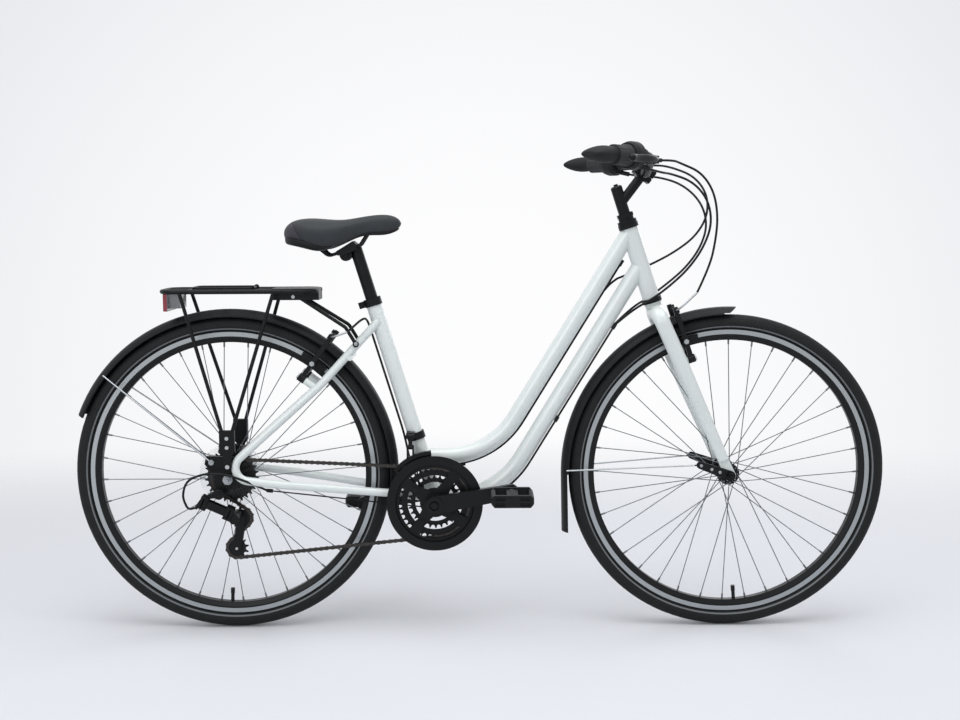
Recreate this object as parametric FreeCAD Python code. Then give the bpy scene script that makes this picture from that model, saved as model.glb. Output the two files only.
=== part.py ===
import FreeCAD, Part
import os
from math import atan2, cos, degrees, hypot, pi, radians, sin, sqrt, tan

# Step-through hybrid bike with twin curved main tubes, mudguards, rack and derailleur gears.
# Millimetres. +X is forward, +Y is the rider's left, +Z is up.
# The origin is on the ground, midway between the axles.

V = FreeCAD.Vector
ACROSS = V(0, 1, 0)

# Driving dimensions: wheels and frame
wheelbase = 1092.0
bead_seat_d = 622.0
tyre_width = 38.0
front_hub_width = 100.0
rear_hub_width = 135.0
chainstay_length = 451.0
bb_drop = 58.0
bb_shell_width = 68.0
bb_shell_d = 41.0
seat_angle = 73.0
seat_tube_length = 463.0
seat_tube_d = 34.0
seatpost_d = 27.2
seat_height = 576.0
head_angle = 72.0
head_tube_length = 160.0
head_tube_d = 38.0
steerer_d = 28.6
fork_rake = 42.0
fork_length = 406.0
lower_stack = 13.0
upper_stack = 33.0
main_tube_d = 36.0
main_tube_slope = 58.5
tube_wall = 2.0
upper_tube_height = 94.0
upper_tube_drop = 7.0
lower_tube_rise = 76.0
upper_tube_bend = 180.0
lower_tube_bend = 190.0
stay_d = 18.0
seatstay_height = 415.0

# Driving dimensions: drive
chain_pitch = 12.7
chain_line = 46.5
ring_teeth = (48, 38, 28)
ring_spacing = 7.5
sprocket_teeth = (14, 16, 18, 20, 22, 24, 28)
sprocket_spacing = 5.0
pulley_teeth = 11
crank_length = 170.0
crank_tilt = 10.0
guard_disc_d = 210.0

# Driving dimensions: steering and seat
stem_reach_clamp = V(48.0, 0, 62.0)
stem_post_height = 62.0
bar_d = 22.2
bar_clamp_d = 25.4
bar_rise = 30.0
bar_rise_start = 38.0
bar_corner_out = 120.0
bar_sweep = 40.0
bar_end_length = 182.0
grip_past_bar = 30.0
saddle_length = 256.0
saddle_width = 180.0

# Driving dimensions: brakes, guards and rack
brake_pivot_radius = 270.0
brake_pivot_out = 43.0
brake_arm_length = 118.0
front_brake_angle = 108.6
rear_brake_angle = 53.6
guard_radius = 366.0
guard_half_width = 24.0
guard_thickness = 2.0
rack_height = 760.0
rack_rear_x = -686.0
rack_front_x = -351.0
rack_half_width = 55.0
rack_rod_d = 10.0

# Clearances
running_gap = 0.05
free_gap = 0.3

# Derived places
tyre_r = bead_seat_d / 2 + tyre_width
rear_axle = V(-wheelbase / 2, 0, tyre_r)
front_axle = V(wheelbase / 2, 0, tyre_r)
bb = V(rear_axle.x + sqrt(chainstay_length ** 2 - bb_drop ** 2), 0, tyre_r - bb_drop)
seat_up = V(-cos(radians(seat_angle)), 0, sin(radians(seat_angle)))
seat_back = V(-sin(radians(seat_angle)), 0, -cos(radians(seat_angle)))
steer_up = V(-cos(radians(head_angle)), 0, sin(radians(head_angle)))
steer_ahead = V(sin(radians(head_angle)), 0, cos(radians(head_angle)))
steer_foot = front_axle - steer_ahead * fork_rake
head_low = fork_length + lower_stack
head_top = head_low + head_tube_length
stack_top = head_top + upper_stack
nodes = {}


def steer(along, ahead=0.0, y=0.0):
    return steer_foot + steer_up * along + steer_ahead * ahead + V(0, y, 0)


def on_seat_tube(along, behind=0.0, y=0.0):
    return bb + seat_up * along + seat_back * behind + V(0, y, 0)


def polar(centre, radius, angle, y=0.0):
    return V(centre.x + radius * cos(radians(angle)), y, centre.z + radius * sin(radians(angle)))


def keep(name, *solids):
    nodes[name] = list(solids)


def both(shape):
    return [shape, shape.mirror(V(0, 0, 0), ACROSS)]


def cut_by(shape, *tools):
    return shape.cut(Part.makeCompound(list(tools))) if len(tools) > 1 else shape.cut(tools[0])


def joined(first, *rest):
    return first.multiFuse(list(rest)).removeSplitter()


def rod(a, b, radius):
    return Part.makeCylinder(radius, (b - a).Length, a, b - a)


def pipe(a, b, outer, inner):
    return rod(a, b, outer).cut(rod(a - (b - a), b + (b - a), inner))


def across(x, z, y0, y1, radius):
    return rod(V(x, y0, z), V(x, y1, z), radius)


def box(low, high):
    size = high - low
    return Part.makeBox(size.x, size.y, size.z, low)


def outline(start, *steps):
    # A step is a point for a line, or a (through, end) pair for an arc.
    edges = []
    here = start
    for step in steps:
        if isinstance(step, tuple):
            edges.append(Part.Arc(here, step[0], step[1]).toShape())
            here = step[1]
        else:
            edges.append(Part.makeLine(here, step))
            here = step
    if (here - start).Length > 1e-6:
        edges.append(Part.makeLine(here, start))
    return Part.Wire(edges)


def slab(wire, sweep):
    return Part.Face(wire).extrude(sweep)


def spun(wire, centre, sweep=360.0, axis=ACROSS):
    return Part.Face(wire).revolve(centre, axis, sweep)


def ring_profile(centre, points):
    # Points are (radius, y) pairs round an axle that runs across the bike.
    return Part.makePolygon([centre + V(r, y, 0) for r, y in points + points[:1]])


def bent_path(points, bends):
    # Straight runs joined by tangent arcs. A bend of None is as large as its runs allow.
    edges = []
    here = points[0]
    for i in range(1, len(points) - 1):
        back = points[i - 1] - points[i]
        ahead = points[i + 1] - points[i]
        half_turn = (pi - back.getAngle(ahead)) / 2
        bend = bends[i - 1] if isinstance(bends, (list, tuple)) else bends
        room = 0.45 * min(back.Length, ahead.Length)
        tangent = bend * tan(half_turn) if bend else room
        back.normalize()
        ahead.normalize()
        first = points[i] + back * tangent
        last = points[i] + ahead * tangent
        middle_way = back + ahead
        middle_way.normalize()
        radius = tangent / tan(half_turn)
        middle = points[i] + middle_way * (radius / cos(half_turn) - radius)
        edges.append(Part.makeLine(here, first))
        edges.append(Part.Arc(first, middle, last).toShape())
        here = last
    edges.append(Part.makeLine(here, points[-1]))
    return Part.Wire(edges)


def bent_rod(points, radius, bends=None):
    path = bent_path(points, bends) if len(points) > 2 else None
    if path is None:
        return rod(points[0], points[1], radius)
    section = Part.Wire([Part.makeCircle(radius, points[0], points[1] - points[0])])
    return path.makePipeShell([section], True, False)


def hex_prism(base, axis, flats, height):
    axis = V(axis)
    axis.normalize()
    side = V(0, 0, 1) if abs(axis.z) < 0.9 else V(1, 0, 0)
    first = axis.cross(side)
    first.normalize()
    second = axis.cross(first)
    reach = flats / sqrt(3)
    corners = [base + first * (reach * cos(k * pi / 3)) + second * (reach * sin(k * pi / 3))
               for k in range(7)]
    return slab(Part.makePolygon(corners), axis * height)


def placed(shape, origin, ex, ey, ez):
    matrix = FreeCAD.Matrix(ex.x, ey.x, ez.x, origin.x, ex.y, ey.y, ez.y, origin.y, ex.z, ey.z, ez.z,
                            origin.z)
    moved = shape.copy()
    moved.Placement = FreeCAD.Placement(matrix).multiply(shape.Placement)
    return moved


def sector(centre, inner, outer, start, end, y0, y1):
    middle = (start + end) / 2
    wire = outline(
        polar(centre, inner, start, y0),
        (polar(centre, inner, middle, y0), polar(centre, inner, end, y0)),
        polar(centre, outer, end, y0),
        (polar(centre, outer, middle, y0), polar(centre, outer, start, y0)))
    return slab(wire, V(0, y1 - y0, 0))


def link_plate(a, ra, b, rb, y0, y1):
    # A flat bar between two eyes, with sides tangent to both.
    way = V(b.x - a.x, 0, b.z - a.z)
    span = way.Length
    base = degrees(atan2(way.z, way.x))
    lean = degrees(atan2(sqrt(span ** 2 - (ra - rb) ** 2), ra - rb))
    wire = outline(
        polar(a, ra, base + lean, y0),
        (polar(a, ra, base + 180, y0), polar(a, ra, base - lean, y0)),
        polar(b, rb, base - lean, y0),
        (polar(b, rb, base, y0), polar(b, rb, base + lean, y0)))
    return slab(wire, V(0, y1 - y0, 0))


def ellipse_wire(centre, long_way, long_half, short_way, short_half):
    long_way = V(long_way)
    long_way.normalize()
    short_way = V(short_way)
    short_way.normalize()
    if long_half < short_half:
        long_way, short_way = short_way, long_way
        long_half, short_half = short_half, long_half
    curve = Part.Ellipse(centre + long_way * long_half, centre + short_way * short_half, centre)
    return Part.Wire([curve.toShape()])


# Wheels: single-wall rims, open tyres, 36 tangent spokes laced three-cross
rim_outer = bead_seat_d / 2 + 6.0
rim_half = 12.0
rim_wall = 1.8
track_depth = 14.0
rim_floor = 293.0
rim_floor_half = 7.0
spoke_count = 36
spoke_d = 2.0
nipple_d = 4.0
nipple_length = 14.0
spoke_cross = 60.0
flange_thickness = 3.2
elbow_inside = 2.9
elbow_outside = 4.0
elbow_bend = 1.3
valve_d = 8.0
front_valve_angle = -85.4
rear_valve_angle = -92.3


def make_rim(centre):
    well = rim_half - rim_wall
    shoulder = rim_outer - track_depth
    points = [(rim_outer, rim_half), (shoulder, rim_half), (rim_floor, rim_floor_half),
              (rim_floor, -rim_floor_half), (shoulder, -rim_half), (rim_outer, -rim_half),
              (rim_outer, -well), (shoulder + rim_wall, -well),
              (rim_floor + rim_wall, rim_wall - rim_floor_half),
              (rim_floor + rim_wall, rim_floor_half - rim_wall), (shoulder + rim_wall, well),
              (rim_outer, well)]
    return spun(ring_profile(centre, points), centre)


def make_tyre(centre):
    bead = rim_half - rim_wall - running_gap
    bead_low = rim_outer - 7.0
    lip = rim_outer + 1.2
    wall = 2.6
    half = tyre_width / 2
    widest = rim_outer + 13.0
    crown = tyre_r - widest
    inner_half = half - wall
    inner_crown = crown - wall - 1.0
    c45 = cos(pi / 4)

    def at(r, y):
        return centre + V(r, y, 0)

    wire = outline(
        at(bead_low, bead), at(lip, bead),
        (at(lip + 4.5, bead + 6.6), at(widest, half)),
        (at(widest + crown * c45, half * c45), at(tyre_r, 0)),
        (at(widest + crown * c45, -half * c45), at(widest, -half)),
        (at(lip + 4.5, -bead - 6.6), at(lip, -bead)),
        at(bead_low, -bead), at(bead_low, wall - bead), at(lip, wall - bead),
        (at(lip + 6.0, -bead - 3.2), at(widest, -inner_half)),
        (at(widest + inner_crown * c45, -inner_half * c45), at(widest + inner_crown, 0)),
        (at(widest + inner_crown * c45, inner_half * c45), at(widest, inner_half)),
        (at(lip + 6.0, bead + 3.2), at(lip, bead - wall)),
        at(bead_low, bead - wall))
    return spun(wire, centre)


def spoke_ends(centre, flange_y, flange_r, rim_angle, leading):
    side = 1 if flange_y > 0 else -1
    turn = spoke_cross if leading else -spoke_cross
    bend_y = flange_y + side * (elbow_outside if leading else -elbow_inside)
    hub_end = polar(centre, flange_r, rim_angle - turn, bend_y)
    rim_end = polar(centre, rim_floor + rim_wall + 1.5, rim_angle, side * 2.5)
    return hub_end, rim_end


def make_spoke(centre, flange_y, flange_r, rim_angle, leading):
    hub_end, rim_end = spoke_ends(centre, flange_y, flange_r, rim_angle, leading)
    way = rim_end - hub_end
    way.normalize()
    head_way = V(0, flange_y - hub_end.y, 0)
    head_way.normalize()
    head_at = V(hub_end.x, flange_y, hub_end.z) + head_way * (flange_thickness / 2 + 0.2)
    thin = spoke_d / 2
    wire_part = bent_rod([head_at + head_way * 0.5, hub_end, rim_end - way], thin, elbow_bend)
    nipple = rod(rim_end - way * nipple_length, rim_end, nipple_d / 2)
    head = rod(head_at, head_at + head_way, 1.8 * thin)
    return joined(wire_part, nipple, head)


def make_wheel(prefix, centre, flanges, flange_r, hub_points, valve_angle):
    spokes = []
    rim_holes = []
    hub_holes = []
    per_flange = spoke_count // 2
    step = 360.0 / spoke_count
    for flange_index, flange_y in enumerate(flanges):
        for leading in (True, False):
            first = valve_angle + step / 2 + flange_index * step + (0 if leading else 2 * step)
            pattern = make_spoke(centre, flange_y, flange_r, first, leading)
            hub_end, rim_end = spoke_ends(centre, flange_y, flange_r, first, leading)
            way = rim_end - hub_end
            way.normalize()
            rim_hole = rod(rim_end - way * nipple_length, rim_end + way * 2, nipple_d / 2 + running_gap)
            middle = V(hub_end.x, flange_y, hub_end.z)
            hub_hole = rod(middle - ACROSS * flange_thickness, middle + ACROSS * flange_thickness,
                           spoke_d / 2 + 0.1)
            for k in range(per_flange // 2):
                turn = -k * 4 * step
                for solid, group in ((pattern, spokes), (rim_hole, rim_holes), (hub_hole, hub_holes)):
                    copy = solid.copy()
                    copy.rotate(centre, ACROSS, turn)
                    group.append(copy)
    valve_top = polar(centre, rim_floor + rim_wall + 5, valve_angle)
    valve_tip = polar(centre, rim_floor - 30, valve_angle)
    valve_cap = polar(centre, rim_floor - 18, valve_angle)
    rim_holes.append(rod(polar(centre, rim_floor - 5, valve_angle), valve_top, valve_d / 2))
    rim = cut_by(make_rim(centre), *rim_holes)
    valve = joined(rod(valve_top, valve_tip, valve_d / 2 - running_gap),
                   rod(valve_cap, valve_tip, valve_d / 2 + 0.6))
    hub = cut_by(spun(ring_profile(centre, hub_points), centre), *hub_holes)
    keep(prefix + "_rim", rim, valve)
    keep(prefix + "_tyre", make_tyre(centre))
    keep(prefix + "_spokes", *spokes)
    keep(prefix + "_hub", hub)


front_axle_r = 4.5
rear_axle_r = 5.0
front_flange = 35.0
front_flange_r = 19.5
rear_flange_right = -20.0
rear_flange_left = 34.0
rear_flange_r = 22.5
flange_rim = 4.5
bearing_r = 9.0
front_shell = front_hub_width / 2 - 8.0
freewheel_bore_r = 17.0
freewheel_in = rear_flange_right - 6.0
freewheel_out = -61.0
half_flange = flange_thickness / 2

front_hub_points = [
    (bearing_r, front_shell), (13, front_shell), (14, front_flange + half_flange),
    (front_flange_r + flange_rim, front_flange + half_flange),
    (front_flange_r + flange_rim, front_flange - half_flange), (14, front_flange - half_flange),
    (10.5, 18), (10.5, -18), (14, half_flange - front_flange),
    (front_flange_r + flange_rim, half_flange - front_flange),
    (front_flange_r + flange_rim, -half_flange - front_flange), (14, -half_flange - front_flange),
    (13, -front_shell), (bearing_r, -front_shell), (bearing_r, 14 - front_flange),
    (front_axle_r + 2, 14 - front_flange),
    (front_axle_r + 2, front_flange - 14), (bearing_r, front_flange - 14)]
make_wheel("front", front_axle, (-front_flange, front_flange), front_flange_r, front_hub_points,
           front_valve_angle)

rear_shell_left = rear_hub_width / 2 - 10.0
rear_hub_points = [
    (bearing_r, rear_shell_left), (15, rear_shell_left), (16, rear_flange_left + half_flange),
    (rear_flange_r + flange_rim, rear_flange_left + half_flange),
    (rear_flange_r + flange_rim, rear_flange_left - half_flange), (16, rear_flange_left - half_flange),
    (13, rear_flange_left - 14), (13, rear_flange_right + 12), (18, rear_flange_right + half_flange),
    (rear_flange_r + flange_rim, rear_flange_right + half_flange),
    (rear_flange_r + flange_rim, rear_flange_right - half_flange), (18, rear_flange_right - half_flange),
    (18, freewheel_in + 1), (freewheel_bore_r, freewheel_in + 1), (freewheel_bore_r, freewheel_out + 1),
    (bearing_r, freewheel_out + 1), (bearing_r, freewheel_out + 12), (rear_axle_r + 2, freewheel_out + 12),
    (rear_axle_r + 2, rear_flange_left - 6), (bearing_r, rear_flange_left - 6)]
make_wheel("rear", rear_axle, (rear_flange_right, rear_flange_left), rear_flange_r, rear_hub_points,
           rear_valve_angle)

# Clear spoke protector: a thin dished disc on the hub behind the sprockets
protector_r = 72.0
protector_t = 1.5
protector_y = freewheel_in - 2.2
protector_points = [
    (freewheel_bore_r, protector_y), (protector_r - 3, protector_y + 1), (protector_r, protector_y + 2.5),
    (protector_r, protector_y + 2.5 + protector_t), (protector_r - 3.5, protector_y + 1 + protector_t),
    (freewheel_bore_r, protector_y + protector_t)]
keep("spoke_protector", spun(ring_profile(rear_axle, protector_points), rear_axle))

# Axles with cones, locknuts and outer nuts
fork_end_thickness = 6.0
dropout_thickness = 6.0
claw_thickness = 3.0
bracket_thickness = 4.0
washer = 2.0


def make_axle(centre, radius, half_width, cones, plate_right, plate_left, flats):
    nut = 9.0
    tail = nut + 7.0
    right_nut = half_width + plate_right
    left_nut = half_width + plate_left
    solid = rod(centre - ACROSS * (right_nut + washer + tail), centre + ACROSS * (left_nut + washer + tail),
                radius)
    pieces = []
    for side, cone, plate in ((-1, cones[0], right_nut), (1, cones[1], left_nut)):
        way = ACROSS * side
        pieces.append(rod(centre + way * cone, centre + way * half_width, bearing_r - running_gap))
        pieces.append(rod(centre + way * plate, centre + way * (plate + washer), radius + 5.5))
        pieces.append(hex_prism(centre + way * (plate + washer), way, flats, nut))
    return joined(solid, *pieces)


keep("front_axle", make_axle(front_axle, front_axle_r, front_hub_width / 2,
                             (front_flange - 9, front_flange - 9),
                             fork_end_thickness + bracket_thickness, fork_end_thickness + bracket_thickness,
                             15.0))
keep("rear_axle", make_axle(rear_axle, rear_axle_r, rear_hub_width / 2,
                            (-freewheel_out - 8, rear_flange_left + 4),
                            dropout_thickness + claw_thickness, dropout_thickness, 15.0))

# Frame tubes, mitred where they meet
head_r = head_tube_d / 2
seat_r = seat_tube_d / 2
main_r = main_tube_d / 2
stay_r = stay_d / 2
shell_r = bb_shell_d / 2
cup_skirt_r = head_r - tube_wall
head_outer = rod(steer(head_low), steer(head_top), head_r)
seat_outer = rod(bb, on_seat_tube(seat_tube_length), seat_r)
shell_outer = rod(bb - ACROSS * bb_shell_width / 2, bb + ACROSS * bb_shell_width / 2, shell_r)
shell_bore_r = shell_r - 3.2
keep("head_tube", head_outer.cut(rod(steer(head_low - 1), steer(head_top + 1), cup_skirt_r)))
slope_way = V(-cos(radians(main_tube_slope)), 0, -sin(radians(main_tube_slope)))


def main_tube(start, end, bend, *mitres):
    corner = start + slope_way * ((start.z - end.z) / sin(radians(main_tube_slope)))
    outer = bent_rod([start, corner, end], main_r, bend)
    inner = bent_rod([start, corner, end], main_r - tube_wall, bend)
    return cut_by(outer, inner, *mitres), corner


upper_start = steer(head_top - upper_tube_drop)
upper_end = on_seat_tube(upper_tube_height / sin(radians(seat_angle)))
head_mitre = rod(steer(head_low - 40), steer(head_top + 40), head_r)
cup_room = rod(steer(head_top), steer(head_top + 40), head_r + 8)
upper_tube, upper_corner = main_tube(upper_start, upper_end, upper_tube_bend, head_mitre, cup_room,
                                     seat_outer)
lower_start = steer(head_low + lower_tube_rise)
lower_tube, lower_corner = main_tube(lower_start, bb, lower_tube_bend, head_mitre, shell_outer, seat_outer)


def largest(shape):
    return max(shape.Solids, key=lambda solid: solid.Volume)


keep("main_tubes", largest(upper_tube), largest(lower_tube))
seat_bore_r = seatpost_d / 2 + running_gap
seat_tube = seat_outer.cut(rod(bb, on_seat_tube(seat_tube_length + 1), seat_bore_r)).cut(shell_outer)
keep("seat_tube", largest(seat_tube))

# Bent stays: each side is one tube, chainstay and seatstay with a loop at the dropout
stay_loop = 29.0
stay_spread = 76.0
stay_wall = 1.6


def stay_points(side):
    return [
        bb + V(-9, 22 * side, 5), bb + V(-91, 31 * side, 17),
        rear_axle + V(116, (stay_spread - 2) * side, -12), rear_axle + V(-21, stay_spread * side, 5),
        rear_axle + V(201, 50 * side, 202), on_seat_tube(seatstay_height, 0, 12 * side)]


stay_bends = [90.0, 120.0, stay_loop, 200.0]
stay_outers = [bent_rod(stay_points(side), stay_r, stay_bends) for side in (-1, 1)]
stay_inners = [bent_rod(stay_points(side), stay_r - stay_wall, stay_bends) for side in (-1, 1)]
bridge_r = 6.0
bridge_reach = guard_radius + bridge_r + 0.1
chainstay_bridge = polar(rear_axle, bridge_reach, -6.0)
seatstay_bridge = polar(rear_axle, bridge_reach, 44.5)

# Brake posts: the arms turn on pins that stand radially outside each rim
post_r = 8.0
pin_r = 4.0
arm_thickness = 16.0
pin_head = 3.0
post_stub = arm_thickness / 2 + free_gap


def brake_axes(angle, facing):
    along = V(cos(radians(angle)), 0, sin(radians(angle)))
    outward = V(-sin(radians(angle)), 0, cos(radians(angle))) * facing
    return outward, ACROSS * -facing, along


def brake_origin(axle, angle):
    return polar(axle, brake_pivot_radius, angle)


def brake_post(axle, angle, facing, depth, side):
    outward, lateral, along = brake_axes(angle, facing)
    foot = brake_origin(axle, angle) + V(0, side * brake_pivot_out, 0)
    stub = rod(foot - outward * depth, foot - outward * post_stub, post_r)
    pin = rod(foot - outward * depth, foot + outward * (post_stub + 1), pin_r)
    head = rod(foot + outward * post_stub, foot + outward * (post_stub + pin_head), pin_r + 2.5)
    return joined(stub, pin, head)


rear_post_depth = 34.0
stay_solids = []
for side, outer, inner in zip((-1, 1), stay_outers, stay_inners):
    post = brake_post(rear_axle, rear_brake_angle, 1, rear_post_depth, side)
    tube = cut_by(outer.fuse(post), inner, seat_outer, shell_outer)
    stay_solids.append(largest(tube))
for middle, half in ((chainstay_bridge, 33.0), (seatstay_bridge, 44.0)):
    bridge = across(middle.x, middle.z, -half, half, bridge_r)
    stay_solids.append(largest(cut_by(bridge, *stay_outers)))
keep("rear_stays", *stay_solids)

# Dropout plates with eyelets, and the claw that carries the derailleur
dropout_in = rear_hub_width / 2
eyelet_up = 30.0
guard_eyelet = rear_axle + V(-34, 0, 39)
rack_eyelet = rear_axle + V(1.5, 0, eyelet_up)
hanger = rear_axle + V(-15, 0, -27)
dropout_corners = [(-26, -24), (18, -20), (34, 2), (30, 44), (10, 50), (-46, 52), (-50, 34), (-30, 10)]
eyelet_r = 2.6


def dropout(side):
    y0 = side * dropout_in
    plate = slab(Part.makePolygon([rear_axle + V(x, y0, z) for x,
                                   z in dropout_corners + dropout_corners[:1]]),
                 V(0, side * dropout_thickness, 0))
    y1 = y0 + side * (dropout_thickness + 1)
    y2 = y0 - side
    slot_low = box(V(rear_axle.x - rear_axle_r, min(y1, y2), rear_axle.z - 40),
                   V(rear_axle.x + rear_axle_r, max(y1, y2), rear_axle.z))
    seat_hole = across(rear_axle.x, rear_axle.z, y2, y1, rear_axle_r)
    eyelets = [across(p.x, p.z, y2, y1, eyelet_r) for p in (guard_eyelet, rack_eyelet)]
    return largest(cut_by(plate, slot_low, seat_hole, *eyelets, *stay_outers))


claw_out = -(dropout_in + dropout_thickness)
claw = link_plate(rear_axle, 14.0, hanger, 9.0, claw_out, claw_out - claw_thickness)
claw = cut_by(claw, across(rear_axle.x, rear_axle.z, claw_out + 1, claw_out - claw_thickness - 1,
                           rear_axle_r),
              across(hanger.x, hanger.z, claw_out + 1, claw_out - claw_thickness - 1, 5.0))
keep("rear_dropouts", dropout(-1), dropout(1), claw)

# Bottom bracket shell with its two threaded cups
spindle_r = 8.5
cup_depth = 22.0
cup_flange = 2.5
half_shell = bb_shell_width / 2
shell = shell_outer.cut(across(bb.x, bb.z, -half_shell - 1, half_shell + 1, shell_bore_r))
cups = []
for side in (-1, 1):
    barrel = across(bb.x, bb.z, side * (half_shell - cup_depth), side * half_shell, shell_bore_r)
    flange = across(bb.x, bb.z, side * half_shell, side * (half_shell + cup_flange), shell_r - 1)
    bore = across(bb.x, bb.z, side * (half_shell - cup_depth - 1), side * (half_shell + cup_flange + 1),
                  spindle_r + running_gap)
    cups.append(joined(barrel, flange).cut(bore))
keep("bottom_bracket", shell, *cups)

# Headset cups pressed into the head tube, and the locknut stack above them
steerer_r = steerer_d / 2
cup_r = head_r + 3.0
cup_height = 10.0
skirt = 12.0
race_height = lower_stack - cup_height - free_gap
lower_cup = joined(rod(steer(head_low - cup_height), steer(head_low), cup_r),
                   rod(steer(head_low), steer(head_low + skirt), cup_skirt_r))
upper_cup = joined(rod(steer(head_top), steer(head_top + cup_height), cup_r),
                   rod(steer(head_top - skirt), steer(head_top), cup_skirt_r))
steerer_hole = rod(steer(fork_length), steer(stack_top), steerer_r + running_gap)
keep("headset_cups", lower_cup.cut(steerer_hole), upper_cup.cut(steerer_hole))
nut_low = head_top + cup_height + free_gap
lock_cover = rod(steer(nut_low), steer(nut_low + 7), cup_r - 1)
lock_spacer = rod(steer(nut_low + 7), steer(stack_top - 8), steerer_r + 2.5)
lock_nut = hex_prism(steer(stack_top - 8), steer_up, 34.0, 8.0)
quill_r = steerer_r - 1.6
lock_hole = rod(steer(nut_low - 1), steer(stack_top + 1), steerer_r)
keep("headset_locknut", joined(lock_cover, lock_spacer, lock_nut).cut(lock_hole))

# Fork: steerer, crown, two tapered blades, flat fork ends and brake posts
blade_top = fork_length - 14.0
shoulder_at = 300.0
shoulder_out = 51.0
shoulder_bend = 30.0
shoulder_half_x = 17.0
shoulder_half_y = 12.5
blade_stations = [
    # along, out, half fore-and-aft, half across
    (38.0, 57.0, 12.0, 6.5), (125.0, 56.0, 13.8, 8.5), (212.0, 54.0, 15.6, 10.6),
    (shoulder_at, shoulder_out, shoulder_half_x, shoulder_half_y)]


def blade_point(along, y):
    return steer(along, fork_rake * (1 - along / blade_top), y)


def fork_blade(side):
    rings = [ellipse_wire(blade_point(along, side * out), steer_ahead, half_x, ACROSS, half_y)
             for along, out, half_x, half_y in blade_stations]
    path = bent_path([blade_point(shoulder_at, side * shoulder_out),
                      blade_point(blade_top - 4, side * (shoulder_out - 3)),
                      blade_point(blade_top, 0)], shoulder_bend)
    shoulder = path.makePipeShell([rings[-1]], True, False)
    return Part.makeLoft(rings, True, False).fuse(shoulder)


front_post_depth = 24.0
fork_end_in = front_hub_width / 2
crown = joined(rod(steer(blade_top - 16), steer(fork_length), steerer_r + 3.5),
               rod(steer(fork_length), steer(fork_length + race_height), cup_r - 2),
               rod(steer(fork_length), steer(stack_top - 6), steerer_r))
fork_pieces = []
for side in (-1, 1):
    y0 = side * fork_end_in
    tab_top = blade_point(46.0, 0)
    tab = link_plate(front_axle, 12.5, tab_top, 10.5, y0, y0 + side * fork_end_thickness)
    fork_pieces += [fork_blade(side), tab,
                    brake_post(front_axle, front_brake_angle, -1, front_post_depth, side)]
guard_bolt = rod(steer(guard_radius - 4), steer(blade_top - 10), 5.0)
fork = joined(crown, *fork_pieces)
fork_slot = box(V(front_axle.x - front_axle_r, -80, front_axle.z - 30),
                V(front_axle.x + front_axle_r, 80, front_axle.z))
hub_space = box(V(front_axle.x - 30, -fork_end_in, front_axle.z - 30),
                V(front_axle.x + 30, fork_end_in, front_axle.z + 40))
nut_space = [across(front_axle.x, front_axle.z, side * (fork_end_in + fork_end_thickness), side * 90, 13.5)
             for side in (-1, 1)]
fork = cut_by(fork, fork_slot, hub_space, across(front_axle.x, front_axle.z, -80, 80, front_axle_r),
              *nut_space,
              rod(steer(blade_top - 60), steer(stack_top), quill_r + running_gap))
keep("fork", largest(fork))

# Stem: quill with its own top, and an arm that rises forward to a two-piece bar clamp
clamp_half = 21.0
clamp_r = 18.0
clamp_middle = steer(head_top + 58) + stem_reach_clamp
post_top = stack_top + stem_post_height
arm_root = steer(stack_top + 24)
arm_way = clamp_middle - arm_root
arm_r = 10.5
bar_clamp_r = bar_clamp_d / 2
stem_low = head_top - 80
quill = joined(rod(steer(stem_low), steer(post_top - 3), quill_r),
               Part.makeCone(quill_r, quill_r - 3, 3, steer(post_top - 3), steer_up))
barrel = across(clamp_middle.x, clamp_middle.z, -clamp_half, clamp_half, clamp_r)
bar_hole = across(clamp_middle.x, clamp_middle.z, -clamp_half - 1, clamp_half + 1, bar_clamp_r)
arm_ahead = V(arm_way)
arm_ahead.normalize()
split_gap = 1.2
big = 60.0


def half_space(distance, facing):
    block = box(V(distance if facing > 0 else -big, -big, -big),
                V(big if facing > 0 else distance, big, big))
    up = arm_ahead.cross(ACROSS)
    return placed(block, clamp_middle, arm_ahead, ACROSS * -1, up * -1)


lugs = [rod(clamp_middle + V(0, y, 0) - arm_ahead * 12 + arm_ahead.cross(ACROSS) * z,
            clamp_middle + V(0, y, 0) + arm_ahead * 15 + arm_ahead.cross(ACROSS) * z, 5.5)
        for y in (-13, 13) for z in (-16.5, 16.5)]
clamp_body = joined(barrel, *lugs).cut(bar_hole)
face_half = largest(clamp_body.common(half_space(split_gap, 1)))
rear_half = clamp_body.common(half_space(-split_gap, -1))
stem_arm = rod(arm_root, clamp_middle - arm_ahead * (clamp_r - 3), arm_r)
stem_body = joined(quill, stem_arm, rear_half).cut(bar_hole)
stem_bolts = [rod(clamp_middle + V(0, y, 0) + arm_ahead * 15 + arm_ahead.cross(ACROSS) * z,
                  clamp_middle + V(0, y, 0) + arm_ahead * 18 + arm_ahead.cross(ACROSS) * z, 4.0)
              for y in (-13, 13) for z in (-16.5, 16.5)]
stem_bolts.append(hex_prism(steer(post_top), steer_up, 9.0, 4.0))
keep("stem", largest(stem_body), face_half, *stem_bolts)

# Handlebar, swept back 40 degrees
bar_r = bar_d / 2
bar_wall = 2.2
sweep_way = V(-sin(radians(bar_sweep)), -cos(radians(bar_sweep)), 0)
bar_corner = clamp_middle + V(0, -bar_corner_out, bar_rise)
bar_end = bar_corner + sweep_way * bar_end_length


def mirrored(point):
    return V(point.x, -point.y, point.z)


right_half = [bar_end, bar_corner, clamp_middle - ACROSS * bar_rise_start]
bar_points = right_half + [mirrored(p) for p in reversed(right_half)]
bar_bends = [60.0, 50.0, 50.0, 60.0]
bar = joined(bent_rod(bar_points, bar_r, bar_bends),
             across(clamp_middle.x, clamp_middle.z, -clamp_half - 6, clamp_half + 6, bar_clamp_r))
keep("handlebar", bar.cut(bent_rod(bar_points, bar_r - bar_wall, bar_bends)))

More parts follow.
